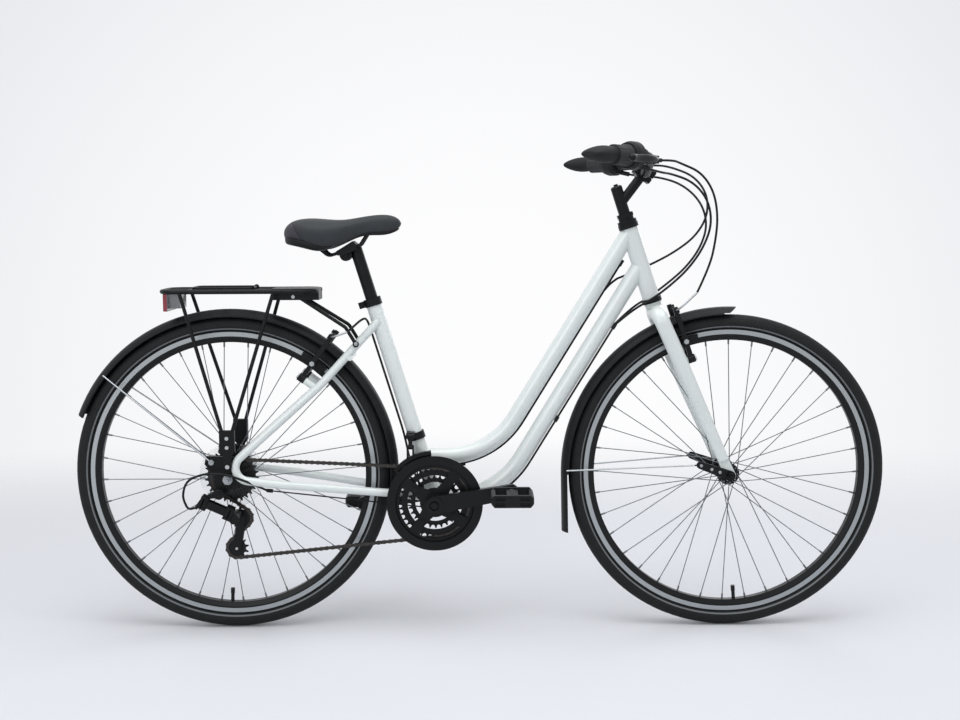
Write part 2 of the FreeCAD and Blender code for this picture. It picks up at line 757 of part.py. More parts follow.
# Controls on each side, built on the right in a frame whose Z runs out along the grip
grip_ahead = V(cos(radians(bar_sweep)), -sin(radians(bar_sweep)), 0)
UP = V(0, 0, 1)
lever_clamp_at = 32.0
lever_clamp_width = 18.0
housing_at = 56.0
housing_width = 36.0
twist_at = housing_at + housing_width + free_gap
twist_length = 48.0
grip_at = twist_at + twist_length + free_gap
grip_length = bar_end_length + grip_past_bar - grip_at
bar_hole_r = bar_r + running_gap
lever_pivot = V(34.0, -8.0, lever_clamp_at + 9.0)
lever_eye_r = 6.0
lever_pin_r = 2.5


def on_grip(shape):
    return placed(shape, bar_corner, grip_ahead, UP, sweep_way)


def turned(points):
    wire = Part.makePolygon([V(r, 0, z) for r, z in points + points[:1]])
    return Part.Face(wire).revolve(V(0, 0, 0), UP, 360)


def flat_ellipse(z, shift, half_x, half_y):
    return ellipse_wire(V(shift, 0, z), V(1, 0, 0), half_x, V(0, 1, 0), half_y)


housing = turned([(bar_hole_r, housing_at), (24, housing_at), (29, housing_at + 7), (29, housing_at + 25),
                  (26, housing_at + housing_width), (bar_hole_r, housing_at + housing_width)])
cable_boss = rod(V(12, -20, housing_at + 12), V(20, -26, housing_at - 14), 5.0)
housing = joined(housing, cable_boss).cut(Part.makeCylinder(bar_hole_r, 300, V(0, 0, 0)))

band = turned([(bar_hole_r, lever_clamp_at), (16.5, lever_clamp_at),
               (16.5, lever_clamp_at + lever_clamp_width),
               (bar_hole_r, lever_clamp_at + lever_clamp_width)])
perch = box(V(10, -15, lever_clamp_at), V(28, -1, lever_clamp_at + lever_clamp_width))
ear_top = box(V(24, lever_pivot.y + 4.3, lever_pivot.z - 8),
              V(lever_pivot.x + 6, lever_pivot.y + 8, lever_pivot.z + 8))
ear_low = box(V(24, lever_pivot.y - 8, lever_pivot.z - 8),
              V(lever_pivot.x + 6, lever_pivot.y - 4.3, lever_pivot.z + 8))
lever_pin = rod(lever_pivot - V(0, 9, 0), lever_pivot + V(0, 9, 0), lever_pin_r)
adjuster = joined(rod(V(20, -8, lever_clamp_at + 1), V(24, -8, lever_clamp_at - 16), 6.0),
                  rod(V(24, -8, lever_clamp_at - 16), V(27, -8, lever_clamp_at - 28), 4.2))
bracket = joined(band, perch, ear_top, ear_low, lever_pin, adjuster)
bracket = bracket.cut(Part.makeCylinder(bar_hole_r, 300, V(0, 0, 0)))

lever_tip = V(lever_pivot.x + 24, lever_pivot.y, 158.0)
lever_knee = V(lever_pivot.x + 17, lever_pivot.y, lever_pivot.z + 26)
lever_rings = [ellipse_wire(lever_pivot + V(6, 0, 5), V(1, 0, 0), 7.0, V(0, 1, 0), 4.0),
               ellipse_wire(lever_knee, V(1, 0, 0), 5.0, V(0, 1, 0), 6.5),
               ellipse_wire((lever_knee + lever_tip) * 0.5 + V(-1, 0, 0), V(1, 0, 0), 4.0, V(0, 1, 0), 7.5),
               ellipse_wire(lever_tip, V(1, 0, 0), 4.5, V(0, 1, 0), 7.0)]
lever_blade = Part.makeLoft(lever_rings, True, False)
lever_eye = rod(lever_pivot - V(0, 4.0, 0), lever_pivot + V(0, 4.0, 0), lever_eye_r)
lever_bead = Part.makeSphere(7.4, lever_tip)
lever = joined(lever_blade, lever_eye, lever_bead)
lever = lever.cut(rod(lever_pivot - V(0, 9, 0), lever_pivot + V(0, 9, 0), lever_pin_r + running_gap))

twist = turned([(bar_hole_r, twist_at), (22.5, twist_at), (22.5, twist_at + 6), (20.5, twist_at + 10),
                (20.5, twist_at + twist_length), (bar_hole_r, twist_at + twist_length)])
rib_count = 12
grooves = [Part.makeCylinder(2.2, twist_length,
                             V(22.0 * cos(k * 2 * pi / rib_count), 22.0 * sin(k * 2 * pi / rib_count),
                                                  twist_at + 11)) for k in range(rib_count)]
twist = cut_by(twist, *grooves)

grip_end = grip_at + grip_length
grip_rings = [flat_ellipse(grip_at, 0, 17.0, 16.8), flat_ellipse(grip_at + 0.34 * grip_length, -2, 20, 17),
              flat_ellipse(grip_at + 0.68 * grip_length, -6, 25, 14.5),
              flat_ellipse(grip_at + 0.9 * grip_length, -8, 23, 9),
              flat_ellipse(grip_end, -8, 13, 4)]
grip = Part.makeLoft(grip_rings, True, False)
grip = grip.cut(Part.makeCylinder(bar_hole_r, bar_end_length + running_gap - grip_at + 1,
                                  V(0, 0, grip_at - 1)))

keep("grips", *both(on_grip(grip)))
keep("control_clamps", *both(on_grip(housing)), *both(on_grip(bracket)))
for name, shape in (("twist_shifter", twist), ("brake_lever", lever)):
    right, left = both(on_grip(shape))
    keep("right_" + name, right)
    keep("left_" + name, left)

# V-brake arms with pads, and the curved noodle on one arm of each brake
pad_radius = rim_outer - track_depth / 2
pad_gap = 1.5
pad_thickness = 9.0
pad_half_height = 5.5
pad_span = 11.5
arm_half = 6.5
arm_depth = 5.0
arm_in = brake_pivot_out - arm_half


def brake_arm(axle, angle, facing, side, noodle_end):
    axes = brake_axes(angle, facing)
    origin = brake_origin(axle, angle)
    local = -side * facing
    top = brake_arm_length
    pivot = V(0, local * brake_pivot_out, 0)
    eye = rod(pivot - V(arm_thickness / 2, 0, 0), pivot + V(arm_thickness / 2, 0, 0), post_r + 1)
    profile = outline(V(-arm_depth, pivot.y - arm_half, 0), V(-arm_depth, pivot.y - arm_half, 70),
                      V(-arm_depth, pivot.y - 4.5, top - 4),
                      (V(-arm_depth, pivot.y, top), V(-arm_depth, pivot.y + 4.5, top - 4)),
                      V(-arm_depth, pivot.y + arm_half, 70), V(-arm_depth, pivot.y + arm_half, 0))
    body = slab(profile, V(2 * arm_depth, 0, 0))
    pad_z = pad_radius - brake_pivot_radius
    slot = rod(V(0, pivot.y - 20, pad_z), V(0, pivot.y + 20, pad_z), 3.0 + running_gap)
    pin_hole = rod(V(-40, pivot.y, 0), V(40, pivot.y, 0), pin_r + running_gap)
    arm = joined(eye, body).cut(slot).cut(pin_hole)
    pad_out = rim_half + pad_gap + pad_thickness
    post = rod(V(0, local * (pad_out - 3), pad_z), V(0, local * (brake_pivot_out + arm_half + 8), pad_z),
               3.0)
    washer_in = rod(V(0, local * pad_out, pad_z), V(0, local * arm_in, pad_z), 6.5)
    nut = hex_prism(V(0, local * (brake_pivot_out + arm_half), pad_z), V(0, local, 0), 10.0, 5.0)
    pieces = [placed(arm, origin, *axes)]
    shoe = sector(axle, pad_radius - pad_half_height, pad_radius + pad_half_height, angle - pad_span / 2,
                  angle + pad_span / 2, side * (rim_half + pad_gap), side * pad_out)
    pieces.append(joined(shoe, placed(joined(post, washer_in, nut), origin, *axes)))
    if noodle_end:
        start = V(0, pivot.y - local * 26, top - 7)
        bend = V(0, pivot.y + local * 24, top - 7)
        finish = V(noodle_end.x, pivot.y + local * noodle_end.y, top + noodle_end.z)
        noodle = bent_rod([start, bend, finish], 2.2, 20.0)
        hook = box(V(arm_depth, min(pivot.y - 4.5, pivot.y + 4.5), top - 14),
                   V(arm_depth + 2, max(pivot.y - 4.5, pivot.y + 4.5), top - 3))
        clear = rod(V(0, pivot.y - 40, top - 7), V(0, pivot.y + 40, top - 7), 2.2 + running_gap)
        pieces[0] = placed(joined(arm, hook).cut(clear), origin, *axes)
        pieces.append(placed(noodle, origin, *axes))
    else:
        anchor = rod(V(arm_depth, pivot.y, top - 7), V(arm_depth + 5, pivot.y, top - 7), 4.5)
        pieces.append(placed(anchor, origin, *axes))
    return pieces


front_noodle = V(52, 18, 16)
rear_noodle = V(-22, 18, 24)
brakes = (("front", front_axle, front_brake_angle, -1, front_noodle),
          ("rear", rear_axle, rear_brake_angle, 1, rear_noodle))
for end, axle, angle, facing, noodle in brakes:
    for side, word in ((-1, "right"), (1, "left")):
        keep(end + "_brake_arm_" + word,
             *brake_arm(axle, angle, facing, side, noodle if side < 0 else None))

# Sprockets: a seat for each roller, straight flanks and a flat tip
roller_r = 3.9
seat_clear = 0.12
tooth_rise = 3.2
tip_half = 1.1
tooth_thickness = 1.9


def pitch_radius(teeth):
    return chain_pitch / (2 * sin(pi / teeth))


def sprocket(centre, teeth, y, bore_r, phase, thickness=tooth_thickness):
    seat = roller_r + seat_clear
    radius = pitch_radius(teeth)
    tip = radius + tooth_rise
    tip_turn = degrees(pi / teeth - tip_half / tip)
    spread = radians(62.0)
    side_turn = degrees(atan2(seat * sin(spread), radius - seat * cos(spread)))
    side_r = hypot(radius - seat * cos(spread), seat * sin(spread))
    face_y = y - thickness / 2
    edges = []
    for k in range(teeth):
        angle = phase + 360.0 * k / teeth
        low = polar(centre, side_r, angle - side_turn, face_y)
        bottom = polar(centre, radius - seat, angle, face_y)
        high = polar(centre, side_r, angle + side_turn, face_y)
        tip_a = polar(centre, tip, angle + tip_turn, face_y)
        tip_b = polar(centre, tip, angle + 360.0 / teeth - tip_turn, face_y)
        after = polar(centre, side_r, angle + 360.0 / teeth - side_turn, face_y)
        edges.append(Part.Arc(low, bottom, high).toShape())
        edges.append(Part.makeLine(high, tip_a))
        edges.append(Part.makeLine(tip_a, tip_b))
        edges.append(Part.makeLine(tip_b, after))
    rim = Part.Face(Part.Wire(edges)).extrude(V(0, thickness, 0))
    return rim.cut(across(centre.x, centre.z, face_y - 1, face_y + thickness + 1, bore_r))


# Chain path: middle sprocket, middle ring, tension pulley, guide pulley
cage_pivot = rear_axle + V(16, 0, -82)
guide_offset = V(8, 0, -8)
tension_offset = V(4, 0, -76)
ring_now = ring_teeth[1]
sprocket_now = sprocket_teeth[len(sprocket_teeth) // 2]


def cage_point(offset, swing):
    c = cos(radians(swing))
    s = sin(radians(swing))
    return V(cage_pivot.x + offset.x * c - offset.z * s, 0, cage_pivot.z + offset.x * s + offset.z * c)


def chain_path(swing):
    # Each stop is centre, pitch radius and sense: -1 turns clockwise seen from the drive side.
    stops = [(rear_axle, pitch_radius(sprocket_now), -1), (bb, pitch_radius(ring_now), -1),
             (cage_point(tension_offset, swing), pitch_radius(pulley_teeth), -1),
             (cage_point(guide_offset, swing), pitch_radius(pulley_teeth), 1)]
    count = len(stops)
    headings = []
    for i in range(count):
        c1, r1, s1 = stops[i]
        c2, r2, s2 = stops[(i + 1) % count]
        gap = hypot(c2.x - c1.x, c2.z - c1.z)
        step = r2 * s2 - r1 * s1
        headings.append(atan2(c2.z - c1.z, c2.x - c1.x) - atan2(step, sqrt(gap ** 2 - step ** 2)))
    spans = []
    for i in range(count):
        c1, r1, s1 = stops[i]
        c2, r2, s2 = stops[(i + 1) % count]
        leave = headings[i] - s1 * pi / 2
        arrive = headings[i] - s2 * pi / 2
        a = V(c1.x + r1 * cos(leave), 0, c1.z + r1 * sin(leave))
        b = V(c2.x + r2 * cos(arrive), 0, c2.z + r2 * sin(arrive))
        spans.append(("run", (b - a).Length, a, b))
        turn = (headings[(i + 1) % count] - headings[i]) * s2 % (2 * pi)
        spans.append(("arc", r2 * turn, c2, r2, arrive, s2))
    return spans


def on_path(spans, length):
    for span in spans:
        if length <= span[1]:
            break
        length -= span[1]
    if span[0] == "run":
        return span[2] + (span[3] - span[2]) * (length / span[1])
    angle = span[4] + span[5] * length / span[3]
    return V(span[2].x + span[3] * cos(angle), 0, span[2].z + span[3] * sin(angle))


def walk(spans, links):
    total = sum(span[1] for span in spans)
    pins = [0.0]
    for k in range(links):
        here = on_path(spans, pins[-1] % total)
        low = pins[-1] + 0.95 * chain_pitch
        high = pins[-1] + 1.15 * chain_pitch
        for halving in range(34):
            middle = (low + high) / 2
            if (on_path(spans, middle % total) - here).Length < chain_pitch:
                low = middle
            else:
                high = middle
        pins.append(low)
    return pins, pins[-1] - total


link_count = 2 * int(round(sum(span[1] for span in chain_path(0.0)) / (2 * chain_pitch)))
swing_low = -35.0
swing_high = 35.0
excess_low = walk(chain_path(swing_low), link_count)[1]
for halving in range(22):
    cage_swing = (swing_low + swing_high) / 2
    excess = walk(chain_path(cage_swing), link_count)[1]
    if (excess > 0) == (excess_low > 0):
        swing_low = cage_swing
    else:
        swing_high = cage_swing
spans = chain_path(cage_swing)
pin_lengths, leftover = walk(spans, link_count)
pins = [on_path(spans, length) for length in pin_lengths[:-1]]
guide_centre = cage_point(guide_offset, cage_swing)
tension_centre = cage_point(tension_offset, cage_swing)
print("chain links", link_count, "cage swing", round(cage_swing, 2), "left over", round(leftover, 4))

# Chain: inner links with rollers, outer links with pins, alternating
inner_half = 1.25
plate_t = 0.9
side_gap = 0.1
outer_half = inner_half + plate_t + side_gap
plate_r = 4.1
waist_r = 3.0
chain_pin_r = 1.8


def chain_plate(y0, thickness):
    a = V(0, y0, 0)
    b = V(chain_pitch, y0, 0)
    rise = plate_r * 0.86
    reach = plate_r * 0.51
    wire = outline(a + V(reach, 0, rise), (a + V(-plate_r, 0, 0), a + V(reach, 0, -rise)),
                   (V(chain_pitch / 2, y0, -waist_r), b + V(-reach, 0, -rise)),
                   (b + V(plate_r, 0, 0), b + V(-reach, 0, rise)),
                   (V(chain_pitch / 2, y0, waist_r), a + V(reach, 0, rise)))
    return slab(wire, V(0, thickness, 0))


pin_holes = [across(x, 0, -9, 9, chain_pin_r + running_gap) for x in (0, chain_pitch)]
inner_link = joined(chain_plate(inner_half, plate_t), chain_plate(-inner_half - plate_t, plate_t),
                    *[across(x, 0, -inner_half, inner_half, roller_r) for x in (0, chain_pitch)])
inner_link = cut_by(inner_link, *pin_holes)
outer_link = joined(chain_plate(outer_half, plate_t), chain_plate(-outer_half - plate_t, plate_t),
                    *[across(x, 0, -outer_half - plate_t - 0.4, outer_half + plate_t + 0.4, chain_pin_r)
                      for x in (0, chain_pitch)])
links = []
for k, pin in enumerate(pins):
    after = pins[(k + 1) % len(pins)]
    turn = degrees(atan2(after.z - pin.z, after.x - pin.x))
    link = (inner_link if k % 2 == 0 else outer_link).copy()
    link.Placement = FreeCAD.Placement(V(pin.x, -chain_line, pin.z), FreeCAD.Rotation(ACROSS, -turn))
    links.append(link)
keep("chain", *links)


def phase_on(centre, teeth):
    # The angle of a roller that sits on this sprocket's pitch circle.
    near = min(pins, key=lambda pin: abs(hypot(pin.x - centre.x, pin.z - centre.z) - pitch_radius(teeth)))
    return degrees(atan2(near.z - centre.z, near.x - centre.x))


# Freewheel: seven sprockets on one body
body_r = 21.0
middle_sprocket = len(sprocket_teeth) // 2
cogs = []
for k, teeth in enumerate(sprocket_teeth):
    y = -chain_line + (k - middle_sprocket) * sprocket_spacing
    cogs.append(sprocket(rear_axle, teeth, y, body_r, phase_on(rear_axle, sprocket_now)))
body_in = -chain_line + middle_sprocket * sprocket_spacing + 2.0
body_out = -chain_line - middle_sprocket * sprocket_spacing - 2.0
freewheel_body = across(rear_axle.x, rear_axle.z, max(body_out, freewheel_out), min(body_in, freewheel_in),
                        body_r)
freewheel_body = freewheel_body.cut(across(rear_axle.x, rear_axle.z, -90, 0,
                                           freewheel_bore_r + running_gap))
keep("freewheel", freewheel_body, *cogs)

# Crankset: three rings and a guard disc on a four-arm spider, open between the arms
outer_ring_y = -chain_line - ring_spacing
inner_ring_y = -chain_line + ring_spacing
half_tooth = tooth_thickness / 2
spider_y0 = outer_ring_y + half_tooth
spider_y1 = -chain_line - half_tooth
bolt_circle_r = 52.0
inner_bolt_r = 32.0
ring_bolt_r = 4.0
tab_r = 9.0
guard_y = outer_ring_y - 4.5
guard_t = 2.5
guard_r = guard_disc_d / 2
guard_band = 21.0
ring_phase = phase_on(bb, ring_now)
bolt_angles = [crank_tilt + 45 + 90 * k for k in range(4)]


def root_radius(teeth):
    return pitch_radius(teeth) - roller_r - seat_clear


def tabbed_ring(teeth, y, inner_r, bolt_at, eye):
    # A toothed band with four tabs that reach in to the spider's bolts.
    band = sprocket(bb, teeth, y, inner_r, ring_phase)
    wide = root_radius(teeth) - inner_r - 1.0
    tabs = []
    for angle in bolt_angles:
        tabs.append(link_plate(polar(bb, bolt_at, angle), eye, polar(bb, inner_r, angle), max(wide, eye),
                               y - half_tooth, y + half_tooth))
    return joined(band, *tabs)


ring_inner = [root_radius(ring_teeth[1]) + 5.5, root_radius(ring_teeth[2]) + 7.5,
              root_radius(ring_teeth[2]) - 9.0]
outer_ring = tabbed_ring(ring_teeth[0], outer_ring_y, ring_inner[0], bolt_circle_r, tab_r)
middle_ring = tabbed_ring(ring_teeth[1], -chain_line, ring_inner[1], bolt_circle_r, tab_r)
inner_ring = tabbed_ring(ring_teeth[2], inner_ring_y, ring_inner[2], inner_bolt_r, tab_r - 2)
bolts = []
ring_holes = []
for angle in bolt_angles:
    p = polar(bb, bolt_circle_r, angle)
    q = polar(bb, inner_bolt_r, angle)
    ring_holes.append(across(p.x, p.z, guard_y - 9, -30, ring_bolt_r))
    bolts.append(joined(across(p.x, p.z, outer_ring_y - 3, -chain_line + 3, ring_bolt_r),
                        across(p.x, p.z, outer_ring_y - 3, outer_ring_y - half_tooth, ring_bolt_r + 2),
                        across(p.x, p.z, -chain_line + half_tooth, -chain_line + 3, ring_bolt_r + 2)))
    bolts.append(across(q.x, q.z, spider_y1, inner_ring_y - half_tooth, ring_bolt_r + 1))
guard_in = guard_r - guard_band
guard_edge = [(guard_r, guard_y), (guard_r, guard_y - guard_t), (guard_in + 2, guard_y - guard_t),
              (guard_in, outer_ring_y - half_tooth), (guard_in + 7, outer_ring_y - half_tooth),
              (guard_in + 8, guard_y)]
chain_guard = spun(ring_profile(bb, guard_edge), bb)
keep("chainrings", cut_by(outer_ring, *ring_holes), cut_by(middle_ring, *ring_holes), inner_ring,
     chain_guard, *bolts)

pedal_in = 88.0
crank_in = 68.0
crank_t = 13.0
eye_r = 15.5
boss_r = 19.0
spindle_half = 80.0
pedal_axle_r = 5.0
pedal_length = 88.0
crank_way = V(cos(radians(crank_tilt)), 0, sin(radians(crank_tilt)))
right_eye = bb + crank_way * crank_length
left_eye = bb - crank_way * crank_length


def crank(eye, side):
    y0 = side * crank_in
    arm = link_plate(bb, boss_r, eye, eye_r, y0, y0 + side * crank_t)
    boss = across(bb.x, bb.z, side * (crank_in - 8), side * (crank_in + crank_t + 2), boss_r)
    socket = across(bb.x, bb.z, side * 30, side * spindle_half, spindle_r)
    bolt_well = across(bb.x, bb.z, side * (spindle_half - 2), side * 99, 11.0)
    hole = across(eye.x, eye.z, side * 40, side * 99, pedal_axle_r)
    return arm, boss, [socket, bolt_well, hole]


arm, boss, holes = crank(right_eye, -1)
spider_hub_r = 25.0
hub_tube = joined(across(bb.x, bb.z, spider_y1, -crank_in, boss_r + 2),
                  across(bb.x, bb.z, spider_y1, spider_y0, spider_hub_r))
spider_arms = []
for angle in bolt_angles:
    tip = polar(bb, bolt_circle_r, angle)
    spider_arms.append(link_plate(bb, boss_r + 1, tip, tab_r + 1, spider_y1, spider_y0))
right_crank = cut_by(joined(arm, boss, hub_tube, *spider_arms), *holes, *ring_holes)
arm, boss, holes = crank(left_eye, 1)
left_crank = cut_by(joined(arm, boss), *holes)
spindle = across(bb.x, bb.z, -spindle_half + 2, spindle_half - 2, spindle_r)
crank_bolts = [hex_prism(V(bb.x, side * (spindle_half - 2), bb.z), V(0, side, 0), 14.0, 6.0)
               for side in (-1, 1)]
pedal_axles = []
for eye, side in ((right_eye, -1), (left_eye, 1)):
    shaft = across(eye.x, eye.z, side * (crank_in + 1), side * (pedal_in + pedal_length - 6), pedal_axle_r)
    collar = across(eye.x, eye.z, side * (crank_in + crank_t), side * (pedal_in - free_gap), 8.0)
    pedal_axles.append(joined(shaft, collar))
keep("crank_arms", right_crank, left_crank, spindle, *crank_bolts, *pedal_axles)

# Pedals: moulded platform with windows, tread blocks and a barrel on the spindle
pedal_half_x = 45.0
pedal_half_z = 13.0
pedal_rail = 9.0
pedal_corner = 10.0
pedal_bevel = 7.0
recess_depth = 4.0


def pedal(eye, side):
    y0 = side * pedal_in
    y1 = side * (pedal_in + pedal_length)
    low = min(y0, y1)
    high = max(y0, y1)
    block = box(V(eye.x - pedal_half_x, low, eye.z - pedal_half_z),
                V(eye.x + pedal_half_x, high, eye.z + pedal_half_z))
    corners = [e for e in block.Edges if abs(e.BoundBox.ZLength - 2 * pedal_half_z) < 0.01]
    block = block.makeFillet(pedal_corner, corners)
    bevel_x = pedal_half_x - pedal_bevel
    bevel_z = pedal_half_z - pedal_bevel
    rim = [(pedal_half_x, bevel_z), (bevel_x, pedal_half_z), (-bevel_x, pedal_half_z),
           (-pedal_half_x, bevel_z),
           (-pedal_half_x, -bevel_z), (-bevel_x, -pedal_half_z), (bevel_x, -pedal_half_z),
           (pedal_half_x, -bevel_z)]
    wedge = slab(Part.makePolygon([V(eye.x + x, low, eye.z + z) for x, z in rim + rim[:1]]),
                 V(0, high - low, 0))
    body = block.common(wedge)
    recesses = []
    for end, inward in ((low, 1), (high, -1)):
        for x0, x1 in ((-bevel_x + 2, -16), (16, bevel_x - 2)):
            for z0, z1 in ((-pedal_half_z + 3.5, -2), (2, pedal_half_z - 3.5)):
                recesses.append(box(V(eye.x + x0, min(end - inward, end + inward * recess_depth),
                                      eye.z + z0),
                                    V(eye.x + x1, max(end - inward, end + inward * recess_depth),
                                      eye.z + z1)))
    windows = []
    for x0, x1 in ((-pedal_half_x + pedal_rail, -12), (12, pedal_half_x - pedal_rail)):
        windows.append(box(V(eye.x + x0, low + pedal_rail, eye.z - 20),
                           V(eye.x + x1, high - pedal_rail, eye.z + 20)))
    waists = [box(V(eye.x - 60, low + pedal_rail, eye.z + s * 10 - 3.5),
                  V(eye.x + 60, high - pedal_rail, eye.z + s * 10 + 3.5))
              for s in (-1.35, 1.35)]
    barrel = across(eye.x, eye.z, y0, y1, 11.5)
    solid = joined(cut_by(body, *windows, *waists, *recesses), barrel)
    return solid.cut(across(eye.x, eye.z, y0 - side, y1 - side * 5, pedal_axle_r + running_gap))


keep("right_pedal", pedal(right_eye, -1))
keep("left_pedal", pedal(left_eye, 1))

# Rear derailleur: knuckle on the claw, two links, lower knuckle, cage and two pulleys
link_length = 52.0
link_root = hanger + V(-31, 0, -20)
link_fall = 24.0
link_way = V(cos(radians(link_fall)), 0, -sin(radians(link_fall)))
link_axis = V(sin(radians(link_fall)), 0, cos(radians(link_fall)))
link_tip = link_root + link_way * link_length
mount_y0 = claw_out - claw_thickness - free_gap
outer_link_y = -98.0
inner_link_y = -84.0
link_eye_r = 5.5
link_pin_r = 2.2
link_half = 10.0
ear_t = 4.0
pin_half = link_half + free_gap + ear_t


def at_y(point, y):
    return V(point.x, y, point.z)


def derailleur_link(y):
    a = at_y(link_root, y)
    b = at_y(link_tip, y)
    eyes = [rod(p - link_axis * link_half, p + link_axis * link_half, link_eye_r) for p in (a, b)]
    side = link_way.cross(link_axis)
    bar = placed(box(V(0, 1.5 - link_half, -2.5), V(link_length, link_half - 1.5, 2.5)), a, link_way,
                 link_axis, side)
    holes = [rod(p - link_axis * 20, p + link_axis * 20, link_pin_r + running_gap) for p in (a, b)]
    return cut_by(joined(bar, *eyes), *holes)


def yoke(point, reach_in, barrel):
    # Two ears above and below the links, with their pins, carried by a block beside them.
    parts = [barrel]
    for y in (outer_link_y, inner_link_y):
        middle = at_y(point, y)
        parts.append(rod(middle - link_axis * pin_half, middle + link_axis * pin_half, link_pin_r))
    for low in (-pin_half, link_half + free_gap):
        ear = box(V(-6, outer_link_y - 5.5, low), V(6, inner_link_y + 5.5, low + ear_t))
        parts.append(placed(ear, at_y(point, 0), link_way, ACROSS, link_axis))
        reach = box(V(min(reach_in, 0), inner_link_y - 6, low),
                    V(max(reach_in, 0), inner_link_y + 5.5, low + ear_t))
        parts.append(placed(reach, at_y(point, 0), link_way, ACROSS, link_axis))
    return parts


mount_bolt = across(hanger.x, hanger.z, claw_out - claw_thickness, -104, 6.0)
mount_barrel = across(hanger.x, hanger.z, claw_out - claw_thickness, -102, 11.0)
back_wall = placed(box(V(-12, outer_link_y - 5.5, -pin_half), V(-6, inner_link_y + 5.5, pin_half)),
                   at_y(link_root, 0), link_way, ACROSS, link_axis)
mount_parts = yoke(link_root, -6, back_wall) + [mount_barrel, mount_bolt]
web_top = link_plate(hanger, 9.0, link_root + link_axis * (pin_half + 2), 4.0, mount_y0, outer_link_y)
derailleur_mount = joined(*mount_parts, web_top)
link_sweep = [rod(at_y(link_root, y) - link_axis * (link_half + free_gap),
                  at_y(link_root, y) + link_axis * (link_half + free_gap),
                  link_eye_r + free_gap).cut(rod(at_y(link_root, y) - link_axis * 20,
                                                 at_y(link_root, y) + link_axis * 20, link_pin_r))
              for y in (outer_link_y, inner_link_y)]
keep("derailleur_mount", largest(cut_by(derailleur_mount, *link_sweep)))
keep("derailleur_outer_link", derailleur_link(outer_link_y))
keep("derailleur_inner_link", derailleur_link(inner_link_y))
cage_half = 5.4
cage_plate = 1.8
cage_out = -chain_line - cage_half - cage_plate
front_wall = placed(box(V(6, outer_link_y - 5.5, -pin_half), V(11, inner_link_y + 5.5, pin_half)),
                    at_y(link_tip, 0), link_way, ACROSS, link_axis)
pivot_barrel = across(cage_pivot.x, cage_pivot.z, outer_link_y - 2, cage_out - free_gap, 11.0)
tip_web = link_plate(cage_pivot, 11.0, link_tip + link_way * 9, 6.0, inner_link_y + 5.5, outer_link_y - 2)
knuckle = joined(*yoke(link_tip, 6, front_wall), pivot_barrel, tip_web)
tip_sweep = [rod(at_y(link_tip, y) - link_axis * (link_half + free_gap),
                 at_y(link_tip, y) + link_axis * (link_half + free_gap),
                 link_eye_r + free_gap).cut(rod(at_y(link_tip, y) - link_axis * 20,
                                                at_y(link_tip, y) + link_axis * 20, link_pin_r))
             for y in (outer_link_y, inner_link_y)]
link_room = [placed(box(V(-60, y - 4.5, -link_half - free_gap), V(0, y + 4.5, link_half + free_gap)),
                    at_y(link_tip, 0), link_way, ACROSS, link_axis)
             for y in (outer_link_y, inner_link_y)]
tip_pins = [rod(at_y(link_tip, y) - link_axis * pin_half, at_y(link_tip, y) + link_axis * pin_half,
                link_pin_r)
            for y in (outer_link_y, inner_link_y)]
keep("derailleur_knuckle", largest(joined(cut_by(knuckle, *tip_sweep, *link_room), *tip_pins)))
cage_outer = joined(link_plate(guide_centre, 9.0, tension_centre, 9.0, cage_out, cage_out + cage_plate),
                    link_plate(cage_pivot, 12.0, guide_centre, 9.0, cage_out, cage_out + cage_plate))
cage_inner = link_plate(guide_centre, 9.0, tension_centre, 9.0, -chain_line + cage_half,
                        -chain_line + cage_half + cage_plate)
pulley_bolt_r = 3.0
cage_bolts = [across(p.x, p.z, cage_out - head, -chain_line + cage_half + cage_plate + 1, pulley_bolt_r)
              for p, head in ((guide_centre, 0), (tension_centre, 2))]
cage_shaft = across(cage_pivot.x, cage_pivot.z, cage_out, cage_out - 14, 5.0)
keep("derailleur_cage", joined(cage_outer, cage_inner, cage_shaft, *cage_bolts))
nodes["derailleur_knuckle"] = [nodes["derailleur_knuckle"][0].cut(
    across(cage_pivot.x, cage_pivot.z, cage_out, cage_out - 15, 5.0 + running_gap))]
for name, middle in (("guide_pulley", guide_centre), ("tension_pulley", tension_centre)):
    wheel = sprocket(middle, pulley_teeth, -chain_line, pulley_bolt_r + running_gap,
                     phase_on(middle, pulley_teeth), 2.1)
    hub = across(middle.x, middle.z, -chain_line - cage_half + free_gap, -chain_line + cage_half - free_gap,
                 7.0)
    hub = hub.cut(across(middle.x, middle.z, -90, 0, pulley_bolt_r + running_gap))
    keep(name, joined(wheel, hub))

# Front derailleur: band on the seat tube, swinging link and cage over the outer ring
band_at = 147.0
band_half = 8.0
mech_link = 24.0
mech_y = -chain_line
band_middle = on_seat_tube(band_at)
mech_top = band_middle + V(-10, mech_y, 6)
mech_low = mech_top - V(0, 0, mech_link)
mech_pin_r = 2.5
mech_eye_r = 5.0
link_half_x = 4.0
band_ring = pipe(on_seat_tube(band_at - band_half), on_seat_tube(band_at + band_half), seat_r + 3.5, seat_r)
arm_block = box(V(mech_top.x - 9, mech_top.y + 9, mech_top.z - 6), V(mech_top.x + 9, -12, mech_top.z + 6))
top_ears = [box(V(mech_top.x + x0, mech_top.y - 5, mech_top.z - 5),
                V(mech_top.x + x1, mech_top.y + 10, mech_top.z + 5))
            for x0, x1 in ((-9, -link_half_x - free_gap), (link_half_x + free_gap, 9))]
top_pin = rod(mech_top - V(9, 0, 0), mech_top + V(9, 0, 0), mech_pin_r)
mech_clamp = joined(band_ring, arm_block, *top_ears, top_pin).cut(seat_outer)
keep("front_derailleur_clamp", largest(mech_clamp))
mech_link_bar = box(mech_low - V(link_half_x, 2.5, 0), mech_top + V(link_half_x, 2.5, 0))
